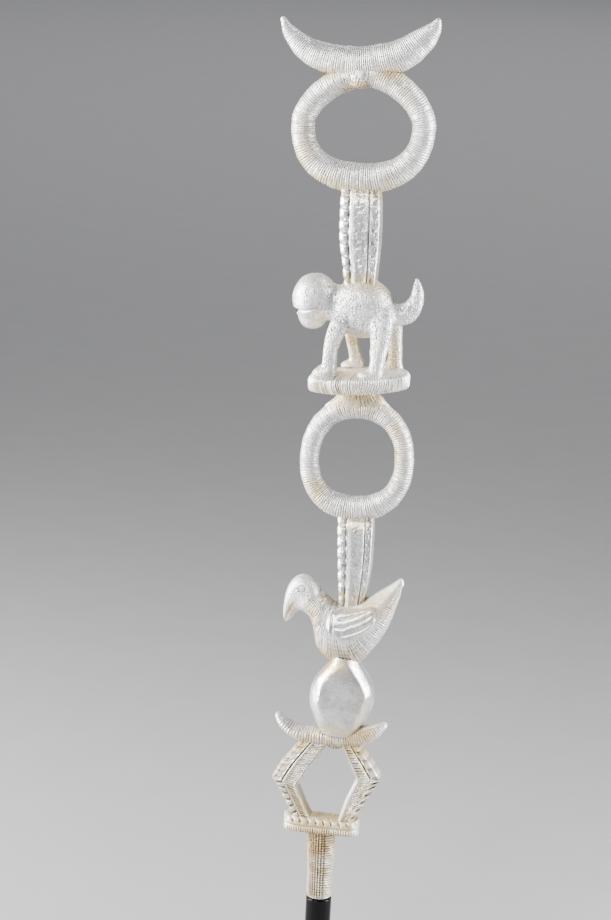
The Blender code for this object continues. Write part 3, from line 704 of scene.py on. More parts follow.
def egg():
    """A smooth egg with one wide knife flat in front and one behind, and fainter flats round it."""
    stations = []
    for level, width in EGG_SECTION:
        x = EGG_X + EGG_LEAN * (level - 0.5)
        z = EGG_FOOT + level * EGG_HEIGHT
        stations.append((x, 0, z, width * EGG_WIDTH / 2, width**0.5 * EGG_DEPTH / 2))
    path = smooth(stations, 52)
    rows = tube_rows(path, 68, 2.6)
    level = (path[:, 2:3] - EGG_FOOT) / EGG_HEIGHT
    knife_flat = path[:, 4:5] * (0.78 + 0.22 * np.abs((level - 0.5) / 0.49) ** 3)
    rows[..., 1] += shaved(0.1 * (rows[..., 0] - EGG_X) - rows[..., 1] - knife_flat) * 0.92
    middle = np.array((EGG_X, 0, EGG_FOOT + EGG_HEIGHT * 0.5))
    for x, y, z, reach, share in EGG_FLATS:
        way = np.array((x, y, z)) / math.sqrt(x * x + y * y + z * z)
        rows = rows - (shaved((rows - middle) @ way - reach) * share)[..., None] * way
    knife = lump(rows, 8.0) * 0.3 + lump(rows, 2.6) * 0.12
    return rows + (rows - path[:, None, :3]) / 20 * knife[..., None]


# Bird sections: top x, z and bottom x, z on the bird's grid, half depth near the top and near the bottom
BIRD_SECTIONS = (
    (40.6, 66.9, 41.3, 63.6, 1.2, 1.2),
    (39.0, 68.0, 41.0, 61.8, 2.4, 2.4),
    (36.7, 67.1, 39.9, 60.0, 3.2, 3.4),
    (30.8, 62.6, 39.1, 54.2, 5.2, 5.4),
    (21.1, 55.9, 36.3, 44.8, 8.4, 8.6),
    (13.0, 50.5, 33.5, 35.4, 11.6, 11.8),
    (5.0, 47.0, 29.5, 25.8, 14.0, 14.2),
    (-1.0, 45.5, 25.4, 18.5, 15.4, 15.6),
    (-5.0, 45.0, 20.2, 11.0, 15.9, 16.4),
    (-8.0, 45.0, 11.7, 1.0, 15.9, 16.8),
    (-10.0, 45.6, 0.0, -1.0, 15.4, 16.6),
    (-11.5, 46.0, -10.8, -0.2, 14.8, 15.8),
    (-12.5, 46.6, -17.9, 4.3, 14.2, 15.0),
    (-13.6, 47.6, -22.7, 10.2, 13.7, 14.2),
    (-14.8, 48.6, -24.1, 15.8, 13.3, 13.6),
    (-16.0, 49.3, -25.6, 22.6, 13.0, 13.2),
    (-18.0, 50.8, -27.6, 29.3, 12.6, 12.8),
    (-20.0, 52.6, -30.7, 33.6, 12.3, 12.2),
    (-21.6, 54.1, -34.2, 35.6, 12.0, 11.6),
    (-24.6, 58.3, -37.0, 36.0, 11.8, 10.6),
    (-29.5, 62.4, -38.8, 34.9, 11.7, 8.8),
    (-35.9, 64.3, -40.2, 33.4, 11.5, 7.2),
    (-42.0, 61.6, -41.6, 31.6, 10.6, 6.0),
    (-46.0, 56.4, -43.0, 29.9, 9.2, 5.0),
    (-48.3, 49.5, -44.3, 28.4, 7.4, 4.2),
    (-49.4, 42.5, -45.4, 27.2, 5.6, 3.4),
    (-49.9, 36.5, -46.2, 26.5, 4.2, 2.6),
    (-49.6, 31.5, -46.8, 26.1, 3.0, 2.0),
    (-48.6, 28.0, -47.3, 26.0, 1.6, 1.2),
)
HEAD_STARTS = 18.4
BIRD_EYE = (-35.2, 54.9)

# The bird's mouth: x, z and radius
BIRD_MOUTH = ((-47.6, 27.6, 1.0), (-45.6, 33.2, 1.6), (-42.9, 39.2, 1.5), (-40.0, 44.6, 0.5))


def rim(x, z, at, radius, width):
    """1 on a ring of that radius round a point, and 0 away from it."""
    return bell(np.hypot(x - at[0], z - at[1]), radius, width)


def bird():
    """The bird from tail to beak: its rows, cuts and dots, and its rows before they were cut."""
    sides = 72
    fine = smooth(BIRD_SECTIONS, 1600)
    reach = 0.6 * reach_along(fine[:, 2:4]) + 0.4 * reach_along(fine[:, :2])
    section = np.linspace(0, len(BIRD_SECTIONS) - 1, len(fine))
    table = resampled(np.column_stack([fine, section]), reach, HATCH_STEP)
    top, bottom, section, count = table[:, :2], table[:, 2:4], table[:, 6:], len(table)
    lift = (1 + np.cos(turns(sides))) / 2
    x, z = np.moveaxis(bottom[:, None] + (top - bottom)[:, None] * lift[:, None], 2, 0)
    half = table[:, 4:5] * lift + table[:, 5:6] * (1 - lift)
    rows = grid(BIRD_X + x, half * rounded(np.sin(turns(sides)), 2.15), BIRD_FOOT + z)
    size = np.linalg.norm(top - bottom, axis=1)[:, None]
    body = ease(HEAD_STARTS - section, -0.4, 0.6) * ease(section, 1.4, 2.6) * ease(size, 3, 9)
    tail = 1 - ease(section, 5.5, 8.0)
    line = (np.arange(count) % 2)[:, None]
    arcs = 1 - np.arange(sides) % 2
    cut = line * (0.75 + 0.5 * arcs) + 0.5 * arcs * (1 - line)
    cut = cut * (1 - 0.55 * ease(lift, 0.28, 0.4) * tail) * np.clip(0.1 + wander(count, sides, 3), 0.35, 1.5)
    cut = (cut + bell(lift, 0.2, 0.03) * tail * 0.7) * body
    centres = placed(np.insert((top + bottom) / 2, 1, 0, axis=1), BIRD_X, BIRD_FOOT)
    head = ease(section, HEAD_STARTS - 1, HEAD_STARTS) * ease(size, 9, 16)
    dots = 0.1 + 0.26 * head - 0.24 * rim(x, z, BIRD_EYE, 1.0, 3.0)
    # The eye's ring is darkened as a cut: painted shade in its groove.
    eye = 1.25 * rim(x, z, BIRD_EYE, 2.6, 0.6)
    return sunk(rows, centres, cut * 0.4), np.maximum(cut, eye), clamp(dots), rows


WING_LOWER_EDGE = (
    (-14.3, 27.9),
    (-9.0, 21.4),
    (-1.2, 19.1),
    (6.3, 20.6),
    (13.8, 24.1),
    (20.4, 29.8),
    (24.4, 38.8),
)
WING_UPPER_EDGE = (
    (-13.6, 34.5),
    (-10.1, 41.2),
    (-4.1, 42.4),
    (2.5, 43.4),
    (9.5, 44.6),
    (17.0, 46.3),
    (23.0, 47.6),
)

# The lines between feathers: where each starts and ends across the wing, and along it
FEATHERS = ((0.17, 0.3, 0.27, 0.9), (0.42, 0.6, 0.2, 0.92), (0.68, 0.88, 0.2, 0.9))


def wing(depth, side):
    """A smooth raised panel on the bird's flank: a double ridge near its front, grooves between feathers."""
    along, across = 60, 44
    u, v = np.linspace(0, 1, along + 1)[:, None], np.linspace(0, 1, across + 1)
    lower, upper = smooth(WING_LOWER_EDGE, along)[:, None], smooth(WING_UPPER_EDGE, along)[:, None]
    x, z = np.moveaxis(lower + (upper - lower) * v[:, None] + (BIRD_X, BIRD_FOOT), 2, 0)
    edge = clamp(7 * v) * clamp(7 * (1 - v)) * clamp(9 * u) * clamp(7 * (1 - u))
    groove, ridge, dark = np.zeros((3, *x.shape))
    for low, high, starts, stops in FEATHERS:
        middle = low + (high - low) * (u - 0.2) / 0.7 + 0.015 * np.sin(9 * u + 20 * low)
        on = clamp((u - starts) * 7) * clamp((stops - u) * 5)
        groove += bell(v, middle, 0.045) * on
        dark += bell(v, middle - 0.01, 0.03) * on
        ridge += bell(v, middle - 0.1, 0.06) * on
    tall = clamp(8 * v) * clamp(5 * (1 - v))
    groove += 0.8 * bell(u, 0.175, 0.014) * tall
    dark += bell(u, 0.175, 0.014) * tall
    ridge += (0.7 * bell(u, 0.147, 0.014) + 0.5 * bell(u, 0.205, 0.016)) * tall
    rise = 1.5 + 0.14 * ridge - 0.8 * groove + 0.7 * bell(u, 0.08, 0.06) + 0.3 * lump(grid(x, z, side), 3.4)
    rise = rise * ease(edge, 0, 1) + 0.05
    y = np.array([[depth(*spot, side) for spot in row] for row in np.stack([x, z], 2)])
    inner = grid(x, y - side * 2.5, z)[:, ::-11]
    # The feather grooves and the groove near the front are darkened as cuts: painted shade in them.
    cuts = np.pad(np.minimum(1.2, 1.15 * dark), ((0, 0), (0, inner.shape[1])))
    return np.concatenate([grid(x, y + side * rise, z), inner], 1), cuts


def ring_cutter(at, radius, thickness, depth, side, count=40):
    """A thin ring that lies in a surface, to cut the rim of an eye."""
    path = []
    for angle in turns(count):
        x = at[0] + radius * math.cos(angle)
        z = at[1] + radius * math.sin(angle)
        path.append((x, depth(x, z, side), z, thickness, thickness))
    return tube_rows(path, 8, closed=True)


def line_cutter(stations, depth, side):
    """A thin tube that lies in a surface along a curve, to cut a line into it: x, z and radius."""
    path = [(x, depth(x, z, side), z, radius, radius) for x, z, radius in smooth(stations, 24)]
    return tube_rows(rounded_ends(np.array(path), 1.5), 10)


def carve_bird(carving):
    carving.add("egg", egg(), leaf=1.0, dots=0.0)
    rows, cut, dots, plain = bird()
    carving.add("bird", rows, cut, dots=dots)
    flank = flank_of(*loft(plain))
    eye = (BIRD_X + BIRD_EYE[0], BIRD_FOOT + BIRD_EYE[1])
    mouth = np.array(BIRD_MOUTH) + (BIRD_X, BIRD_FOOT, 0)
    for side, which in ((-1, "front"), (1, "back")):
        carving.add("wing_" + which, *wing(flank, side), leaf=1.0, dots=0.0)
        carving.cut("bird_eye_" + which, ring_cutter(eye, 2.6, 0.7, flank, side), closed=True)
        carving.cut("bird_mouth_" + which, line_cutter(mouth, flank, side))


# Shafts

# The shafts' x shift and share of their width, at even levels from the lower end up
LOWER_TAPER = ((-0.4, 0.66), (0.4, 0.82), (0.6, 0.95), (0.2, 1.0), (-0.4, 1.0))
UPPER_TAPER = ((2.2, 0.73), (1.6, 0.86), (0.3, 1.0), (-0.2, 1.0), (-1.0, 0.95))


def shaft(middle, foot, length, width, depth, taper, grooves, phase):
    """A shaft with a knife-flat rib between a chain of beads, on the left, and a band of chip cuts."""
    left, right = grooves
    band = np.linspace(-1, left - 0.075, 12)
    gutter = (left - 0.04, left - 0.01, left + 0.025, left + 0.06)
    rib = np.linspace(left + 0.1, right - 0.09, 12)
    other_gutter = (right - 0.05, right - 0.025, right, right + 0.035)
    u = np.concatenate([band, gutter, rib, other_gutter, np.linspace(right + 0.07, 1, 12)])
    total = length + 2 * BEAD_PITCH
    count = round(total / SHAFT_STEP)
    z = (foot - BEAD_PITCH + np.linspace(0, 1, count + 1) * total)[:, None]
    sizes = smooth(taper, count) * (1, width / 2)
    s = clamp((u + 1) / (left + 1))
    t = clamp((u - left) / (right - left))
    w = clamp((u - right) / (1 - right))
    hidden = clamp((z - foot - length) / BEAD_PITCH + 1)
    floor = np.where(u < (left + right) / 2, 0.72, 0.79)
    on_rib = ease(t, 0.0, 0.045) * ease(1 - t, 0.0, 0.035)
    on_chips = ease(u, right + 0.01, right + 0.06)
    halves = []
    for side in (-1, 1):
        spots = grid(u * 9, z / 2.2, side * 4.0)
        knife = lump(spots, 1) + 0.5 * lump(spots, 2.5)
        drift = lump(grid(side * 7.0, 0, z / 11), 1)
        turn = z / BEAD_PITCH + phase + (0.3 if side > 0 else 0.0) + 0.14 * drift + 0.03 * (2 * s - 1) ** 2
        lobe = np.sqrt(clamp(1 - np.abs((turn % 1 - 0.5) / 0.44) ** 3))
        on_band = ease(left - 0.02 - 0.17 * (1 - lobe) - u, -0.02, 0.03)
        bead_top = 0.3 + 0.52 * np.sqrt(clamp(1 - (1 - clamp(s / 0.45)) ** 2))
        bead_top = bead_top + (0.2 * lobe - 0.17) * ease(s, 0.05, 0.3) + 0.08 * lobe * ease(s, 0.3, 0.6)
        bead_top = bead_top - 0.012 * bell(turn % 1, 0.56, 0.07)
        mottle = ease(t, 0.3, 0.42) * ease(1 - t, 0.04, 0.12)
        rib_top = 0.86 + 0.13 * ease(t, 0.02, 0.34) - 0.02 * ease(t, 0.36, 0.9)
        rib_top = rib_top - (0.014 + 0.065 * knife) * mottle + 0.014 * ease(t, 0.86, 0.92)
        edge = 0.42 + 0.2 * np.cos(2 * math.pi * (turn * 0.94 + 0.2 + 0.1 * w)) + 0.14 * knife
        chip = ease(w, edge, edge + 0.14) * ease(0.88 - w, 0, 0.12) * np.clip(0.8 + 0.5 * knife, 0.3, 1)
        chip_top = 0.3 + 0.6 * np.sqrt(1 - (1 - clamp((1 - w) / 0.18)) ** 2) - 0.19 * chip
        chip_top = chip_top - 0.05 * (1 - ease(w, 0.05, 0.3)) + 0.03 * knife * chip
        top = np.where(u < left, (bead_top - floor) * on_band, (rib_top - floor) * on_rib)
        top = floor + np.where(u > right, (chip_top - floor) * on_chips, top)
        x = middle + sizes[:, :1] + u * sizes[:, 1:] + 0.9 * (1 - lobe) * bell(u, -1, 0.2)
        y = side * top * depth / 2 * (1 - 0.3 * hidden**2)
        # These cuts only darken the colour: painted shade between the beads, in the chips and in the grooves
        # beside the rib.
        cut = np.where(u < left, 1 - on_band, 0) * ease(s, 0.5, 0.65) * 0.4
        cut = cut + np.where(u > right, 0.45 * chip * on_chips, 0)
        cut = cut + 0.9 * bell(u, left, 0.035) + 0.8 * bell(u, right, 0.028)
        halves.append((grid(x, y, z), cut))
    return joined(*halves)


def carve_shafts(carving):
    lower = (LOWER_SHAFT_X, LOWER_SHAFT_FOOT, LOWER_SHAFT_LENGTH, LOWER_SHAFT_WIDTH, LOWER_SHAFT_DEPTH)
    upper = (UPPER_SHAFT_X, UPPER_SHAFT_FOOT, UPPER_SHAFT_LENGTH, UPPER_SHAFT_WIDTH, UPPER_SHAFT_DEPTH)
    carving.add("lower_shaft", *shaft(*lower, LOWER_TAPER, (-0.47, 0.55), 0.1), leaf=1.0)
    carving.add("upper_shaft", *shaft(*upper, UPPER_TAPER, (-0.5, 0.45), 0.45), leaf=1.0)


# Rings


def ring_path(x, middle, width, rise, drop, side, top, bottom, lean, powers, count=1440):
    """A closed oval path: its tube is thicker at top and bottom than at the sides."""
    angle = turns(count)
    up = np.sin(angle)
    power = np.where(up > 0, powers[0], powers[1])
    reach = width / 2 * rounded(np.cos(angle), power)
    level = np.where(up > 0, rise, drop) * rounded(up, power)
    pole = np.where(up > 0, top, bottom)
    radius = side + (pole - side) * np.abs(up) ** 2.2
    depth = side + (pole - side) * 0.35 * up * up
    return np.stack([x + reach + lean * up, 0 * up, middle + level, radius, depth], 1)


def lower_ring_path():
    sizes = (LOWER_RING_WIDTH, LOWER_RING_RISE, LOWER_RING_DROP, LOWER_RING_SIDE, LOWER_RING_TOP)
    sizes += (LOWER_RING_BOTTOM, LOWER_RING_LEAN)
    return ring_path(LOWER_RING_X, LOWER_RING_MIDDLE, *sizes, (2.18, 2.25))


def upper_ring_path():
    sizes = (UPPER_RING_WIDTH, UPPER_RING_RISE, UPPER_RING_DROP, UPPER_RING_SIDE, UPPER_RING_TOP)
    sizes += (UPPER_RING_BOTTOM, UPPER_RING_LEAN)
    return ring_path(UPPER_RING_X, UPPER_RING_MIDDLE, *sizes, (1.64, 2.36))


def upright_hatch(stations, count, sides, power, depth):
    """A form that rises along Z, with cuts that run up it."""
    path = smooth(stations, count)
    cut = np.zeros((count + 1, sides))
    cut[:, 1::2] = speck(count + 1, sides, 1, 0.4, 1.5)[:, 1::2]
    return sunk(tube_rows(path, sides, power), path, cut * depth), cut


def neck():
    """The flare that carries the plinth on the lower ring."""
    top = 1 + PLINTH_THICKNESS / 2 / NECK_HEIGHT
    shares = (
        (-0.6, -0.3, 1.5, 0.62),
        (-0.8, -0.02, 1.66, 0.86),
        (-1.0, 0.4, 1.3, 0.98),
        (-1.4, 0.78, 1.02, 1.12),
        (-1.4, 1.0, 1.06, 1.3),
        (-1.4, top, 1.0, 1.3),
    )
    foot = PLINTH_FOOT - NECK_HEIGHT
    stations = []
    for shift, level, across, deep in shares:
        x, z = LOWER_RING_X + shift, foot + level * NECK_HEIGHT
        stations.append((x, 0, z, across * NECK_WIDTH / 2, deep * LOWER_RING_TOP))
    rows, cut = upright_hatch(stations, 18, 84, 2.0, 0.34)
    return rows, cut * 0.75


def carve_rings(carving):
    lower = even(lower_ring_path(), HATCH_STEP, closed=True)
    upper = even(upper_ring_path(), HATCH_STEP, closed=True)
    carving.add("lower_ring", *hatched_tube(lower, 24, closed=True), closed=True)
    carving.add("neck", *neck())
    carving.add("upper_ring", *hatched_tube(upper, 24, closed=True), closed=True)


# Monkey and plinth


def even_turns(count, power, aspect):
    """Angles that put points at equal steps round a superellipse."""
    fine = np.linspace(0, 2 * math.pi, 4001)
    x, y = rounded(np.cos(fine), power), rounded(np.sin(fine), power) * aspect
    steps = np.hypot(np.diff(x), np.diff(y))
    reach = np.concatenate([[0], np.cumsum(steps)])
    return np.interp(np.arange(count) * reach[-1] / count, reach, fine)


# The plinth's section: level, share of its size, roundness of its plan and how strongly it is cut
PLINTH_SECTION = (
    (-0.03, 0.3, 1.9, 0.0),
    (-0.02, 0.75, 1.8, 0.0),
    (0.0, 0.94, 1.8, 0.4),
    (0.05, 0.985, 2.0, 0.8),
    (0.14, 1.0, 2.1, 1.0),
    (0.3, 1.0, 2.3, 1.0),
    (0.45, 1.0, 2.4, 1.0),
    (0.6, 1.0, 2.5, 1.0),
    (0.72, 0.995, 2.5, 1.0),
    (0.83, 0.98, 2.5, 1.0),
    (0.92, 0.95, 2.5, 1.0),
    (0.99, 0.905, 2.5, 0.9),
    (1.04, 0.83, 2.5, 0.7),
    (1.06, 0.7, 2.4, 0.5),
    (1.07, 0.3, 2.2, 0.0),
)


def plinth():
    """A slab with a long oval plan and a soft pillowed top edge, cut upright all round its side."""
    angle = even_turns(2 * PLINTH_CUTS, 2.4, PLINTH_DEPTH / PLINTH_LENGTH)
    uneven = np.clip(1 + 0.9 * (random.random(PLINTH_CUTS) - 0.5), 0.55, 1.4)
    rows, cuts = [], []
    for level, share, power, strength in PLINTH_SECTION:
        cut = np.zeros(len(angle))
        cut[1::2] = strength * uneven * np.clip(1 + 0.7 * (random.random(PLINTH_CUTS) - 0.5), 0.4, 1.3)
        draw = share - cut * 0.5 / (PLINTH_LENGTH / 2)
        across = rounded(np.cos(angle), power) * draw * PLINTH_LENGTH / 2
        deep = rounded(np.sin(angle), power) * draw * PLINTH_DEPTH / 2
        deep = np.where(deep > 0, deep * PLINTH_BACK, deep)
        z = PLINTH_FOOT + level * PLINTH_THICKNESS + PLINTH_RISE * across - cut * 0.35 * (level > 0.9)
        rows.append(np.stack([PLINTH_X + across, deep, z], 1))
        cuts.append(cut)
    return np.array(rows), np.array(cuts)


# The monkey's forms: middles, and stations of x, y, z, half height and half depth
MONKEY_HEAD = (-36.0, 0, 53.0)
MONKEY_JAW = (-37.4, 0, 39.6)
MONKEY_NECK = (-19.5, 0, 50.0)
MONKEY_BODY = (-0.2, 0, 48.4)
MONKEY_EYE = (-37.2, 59.8)
MONKEY_LEGS = {
    "near_front_leg": (
        (-5.0, 1.0, 55.0, 8.0, 5.0),
        (-8.5, -4.0, 49.0, 8.8, 6.6),
        (-11.8, -8.2, 42.5, 8.6, 7.3),
        (-15.2, -12.4, 35.0, 7.5, 6.9),
        (-18.0, -15.8, 27.0, 6.4, 6.3),
        (-19.6, -18.2, 17.0, 5.6, 5.9),
        (-19.6, -19.6, 7.0, 5.6, 6.0),
        (-19.5, -20.0, -4.0, 6.4, 6.6),
    ),
    "near_hind_leg": (
        (8.0, 2.0, 58.0, 10.0, 5.0),
        (11.0, -3.5, 51.0, 10.8, 6.8),
        (14.2, -8.2, 44.0, 10.6, 7.8),
        (16.4, -12.4, 36.5, 9.2, 7.5),
        (16.8, -16.2, 27.0, 7.6, 6.6),
        (16.2, -18.4, 18.0, 6.5, 6.1),
        (15.8, -19.5, 9.0, 5.5, 5.7),
        (14.5, -20.0, -3.0, 5.9, 6.3),
    ),
    "far_front_leg": (
        (-8.0, 4.0, 48.0, 7.0, 7.0),
        (-10.0, 11.0, 36.0, 6.2, 6.2),
        (-10.0, 14.0, 26.0, 5.0, 5.3),
        (-7.8, 16.0, 14.0, 4.5, 5.0),
        (-5.0, 17.0, 4.0, 5.4, 5.2),
        (-4.5, 17.0, -3.0, 7.2, 5.8),
    ),
    "far_hind_leg": (
        (14.0, 3.0, 50.0, 9.0, 7.0),
        (20.0, 10.5, 40.0, 8.4, 7.2),
        (22.4, 14.0, 30.0, 6.3, 6.0),
        (23.5, 15.5, 18.0, 5.6, 5.4),
        (23.7, 16.5, 6.0, 5.8, 5.3),
        (24.0, 16.5, -3.0, 8.6, 5.8),
    ),
}
MONKEY_FEET = {
    "near_front_foot": (-23.6, -20.5, 1.0),
    "near_hind_foot": (9.6, -21.0, 1.6),
    "far_front_foot": (-9.0, 16.5, 1.0),
    "far_hind_foot": (19.0, 16.5, 1.6),
}
MONKEY_HEEL = (-25.4, -10.5, 0.6)
MONKEY_TAIL = (
    (15.0, 0, 45.0, 8.0, 7.5),
    (25.0, 0, 44.6, 8.2, 7.0),
    (34.0, 0, 47.8, 8.4, 6.4),
    (39.6, 0, 56.5, 6.0, 5.4),
    (40.2, 0, 65.0, 4.5, 4.2),
    (39.0, 0, 71.5, 2.5, 2.6),
    (38.4, 0, 74.0, 1.0, 1.2),
)

# The monkey's mouth: x, z and radius
MONKEY_MOUTH = (
    (-31.5, 47.8, 0.8),
    (-36.0, 46.3, 1.4),
    (-41.0, 44.6, 1.8),
    (-46.0, 44.0, 2.3),
    (-53.0, 43.6, 2.8),
)


def monkey_blob(centre, *sizes, **turn):
    at = (MONKEY_X + centre[0], centre[1], PLINTH_TOP + centre[2])
    return blob_path(at, *sizes, **turn)


def monkey_tube(stations, sides, power=2.0):
    return tube_rows(smooth(placed(stations, MONKEY_X, PLINTH_TOP), 30), sides, power)


def monkey_forms():
    """The monkey's round forms, which overlap."""
    forms = [
        tube_rows(monkey_blob(MONKEY_HEAD, 17.2, 19.0, 17.0), 30),
        tube_rows(monkey_blob(MONKEY_JAW, 10.8, 10.2, 11.4), 24),
        tube_rows(monkey_blob(MONKEY_NECK, 11.0, 14.6, 11.0), 24),
        tube_rows(monkey_blob(MONKEY_BODY, 24.2, 22.8, 17.2), 30, 2.2),
    ]
    forms += [monkey_tube(stations, 20, 2.3) for stations in MONKEY_LEGS.values()]
    forms += [tube_rows(monkey_blob(centre, 8.8, 4.7, 6.5), 18) for centre in MONKEY_FEET.values()]
    forms.append(tube_rows(monkey_blob(MONKEY_HEEL, 10.8, 5.2, 8.0, rise=0.6), 18))
    forms.append(monkey_tube(MONKEY_TAIL, 20))
    return forms


def point_normals(points, faces):
    """Each point's unit normal, from the faces round it."""
    corners = np.array([face[:3] for face in faces] + [(face[2], face[-1], face[0]) for face in faces])
    a, b, c = (points[corners[:, k]] for k in range(3))
    flat = np.cross(b - a, c - a)
    total = np.zeros_like(points)
    for k in range(3):
        np.add.at(total, corners[:, k], flat)
    return total / np.maximum(np.linalg.norm(total, axis=1), 1e-9)[:, None]


def blended(forms, rounds):
    """One skin round overlapping forms, with soft joins: its points, its faces and its points' normals."""
    points, faces = [], []
    start = 0
    for rows in forms:
        own, own_faces = loft(rows)
        points.append(own)
        faces += [tuple(start + k for k in face) for face in outward(own, own_faces)]
        start += len(own)
    mesh = bpy.data.meshes.new("blend")
    mesh.from_pydata((np.concatenate(points) * MM).tolist(), [], faces)
    thing = in_scene("blend", mesh)
    skin = thing.modifiers.new("skin", "REMESH")
    skin.mode = "VOXEL"
    skin.voxel_size = VOXEL * MM
    soften = thing.modifiers.new("soften", "SMOOTH")
    soften.factor = 0.5
    soften.iterations = rounds
    made = applied(thing)
    places = places_in(made) / MM
    polygons = outward(places, [tuple(face.vertices) for face in made.polygons])
    bpy.data.objects.remove(thing)
    return places, polygons, point_normals(places, polygons)


def pitted(points, size):
    """Depth of punched pits, one to each cell of that size, from 0 to 1."""
    near = np.array([noise.voronoi(Vector(point) / size)[0][0] for point in points])
    return clamp(1.35 - near / 0.44)


def round_groove(stations, depth):
    """A cutter that runs round a head from one side to the other, through its front: x, z and radius."""
    halves = []
    for side in (-1, 1):
        half = []
        for x, z, radius in smooth(stations, 30) + (MONKEY_X, PLINTH_TOP, 0):
            y = abs(depth(x, z, side))
            if y > 0.5:
                half.append((x, 0.0, side * y, radius, radius, z))
        halves.append(half)
    path = np.array(halves[0] + halves[1][::-1])
    rows = tube_rows(path[:, :5], 14)[..., [0, 2, 1]]
    rows[..., 2] += path[:, 5:6]
    return rows


def near_line(x, z, line, width):
    """1 on a line through those points and 0 away from it."""
    nearest = np.full(x.shape, 1e9)
    for (x0, z0, _), (x1, z1, _) in zip(line[:-1], line[1:]):
        share = ((x - x0) * (x1 - x0) + (z - z0) * (z1 - z0)) / ((x1 - x0) ** 2 + (z1 - z0) ** 2)
        share = np.clip(share, 0, 1)
        nearest = np.minimum(nearest, np.hypot(x - x0 - share * (x1 - x0), z - z0 - share * (z1 - z0)))
    return bell(nearest, 0, width)


def carve_monkey(carving):
    carving.add("plinth", *plinth(), dots=0.0)
    points, faces, normals = blended(monkey_forms(), 32)
    x, _, z = (points - (MONKEY_X, 0, PLINTH_TOP)).T
    body = ease(x, -26, -20) * ease(z, 26, 38)
    head = 1 - ease(x, -26, -22)
    nape = ease(x, -31, -26) * (1 - ease(x, -22, -16))
    tail = ease(x, 25, 29) * ease(z, 30, 36)
    belly = body * (1 - ease(z, 34, 48)) * (1 - tail)
    legs = (1 - ease(z, 28, 38)) * (1 - head)
    dots = np.clip(0.85 * body + 0.34 * head + 0.5 * nape + tail + 0.55 * legs + 0.4 * belly, 0, 1.2)
    pits = pitted(points, 3.1) * np.maximum(0.7 * tail, belly * (1 - legs))
    # The eye rings and the mouth line are darkened as cuts: painted shade in their grooves.
    lines = 0.75 * rim(x, z, MONKEY_EYE, 3.5, 0.7) + 0.45 * rim(x, z, MONKEY_EYE, 1.8, 0.5)
    lines = (1 - ease(x, -30, -27)) * clamp(lines + 0.9 * near_line(x, z, MONKEY_MOUTH, 1.5))
    points = points - normals * (pits * 0.6 + lump(points, 5.0) * 0.3)[:, None]
    carving.add_points("monkey", points, faces, np.maximum(pits * 0.64, lines), 0.1, dots)
    skin = flank_of(points, faces)
    carving.cut("monkey_mouth", round_groove(MONKEY_MOUTH, skin))
    eye = (MONKEY_X + MONKEY_EYE[0], PLINTH_TOP + MONKEY_EYE[1])
    for side, which in ((-1, "near"), (1, "far")):
        carving.cut("monkey_eye_" + which, ring_cutter(eye, 3.5, 0.6, skin, side), closed=True)
        carving.cut("monkey_pupil_" + which, ring_cutter(eye, 1.8, 0.5, skin, side, 24), closed=True)


# Crescent

CRESCENT_STATIONS = (
    (-59.8, 0, 38.2, 1.4, 1.6),
    (-52.5, 0, 26.4, 5.6, 4.8),
    (-38.0, 0, 14.6, 9.5, 8.0),
    (-18.0, 0, 9.1, 11.4, 9.8),
    (4.0, 0, 8.8, 12.0, 10.2),
    (28.0, 0, 15.0, 11.8, 9.8),
    (43.0, 0, 25.4, 10.0, 8.2),
    (52.3, 0, 35.2, 6.2, 5.2),
    (56.4, 0, 44.2, 1.4, 1.6),
)
NUB_STATIONS = (
    (-0.6, 0, 0.0, 3.4, 5.0),
    (-0.5, 0, 1.2, 6.4, 8.6),
    (-0.3, 0, 3.4, 8.6, 10.6),
    (0.2, 0, 7.0, 10.2, 11.2),
    (1.2, 0, 11.0, 12.4, 10.3),
    (1.2, 0, 19.0, 13.0, 7.4),
)


def carve_crescent(carving):
    path = even(smooth(placed(CRESCENT_STATIONS, CRESCENT_X, CRESCENT_FOOT), 600), CREST_STEP)
    carving.add("crescent", *hatched_tube(rounded_ends(path, 1.4), 26, 2.1))
    x, top = CRESCENT_X + 0.4, CRESCENT_FOOT + 5.0
    carving.add("nub", *upright_hatch(placed(NUB_STATIONS, x, top - NUB_HEIGHT), 24, 56, 2.0, 0.42))
    down = np.linspace(0, 1, 13)
    half = 0.5 + 0.3 * np.sin(math.pi * down)
    y, z = 1.6 * np.abs(2 * down - 1) - 9.4, top - 6.5 - 8.5 * down
    for side in (-1, 1):
        crevice = np.stack([x + side * (11.0 - 3.4 * down), y, z, half, half], 1)
        rows = tube_rows(rounded_ends(crevice, 2.0), 10)
        carving.cut(f"crevice_front_{side + 1}", rows)
        carving.cut(f"crevice_back_{side + 1}", rows * (1, -1, 1))


# Finish of the carving

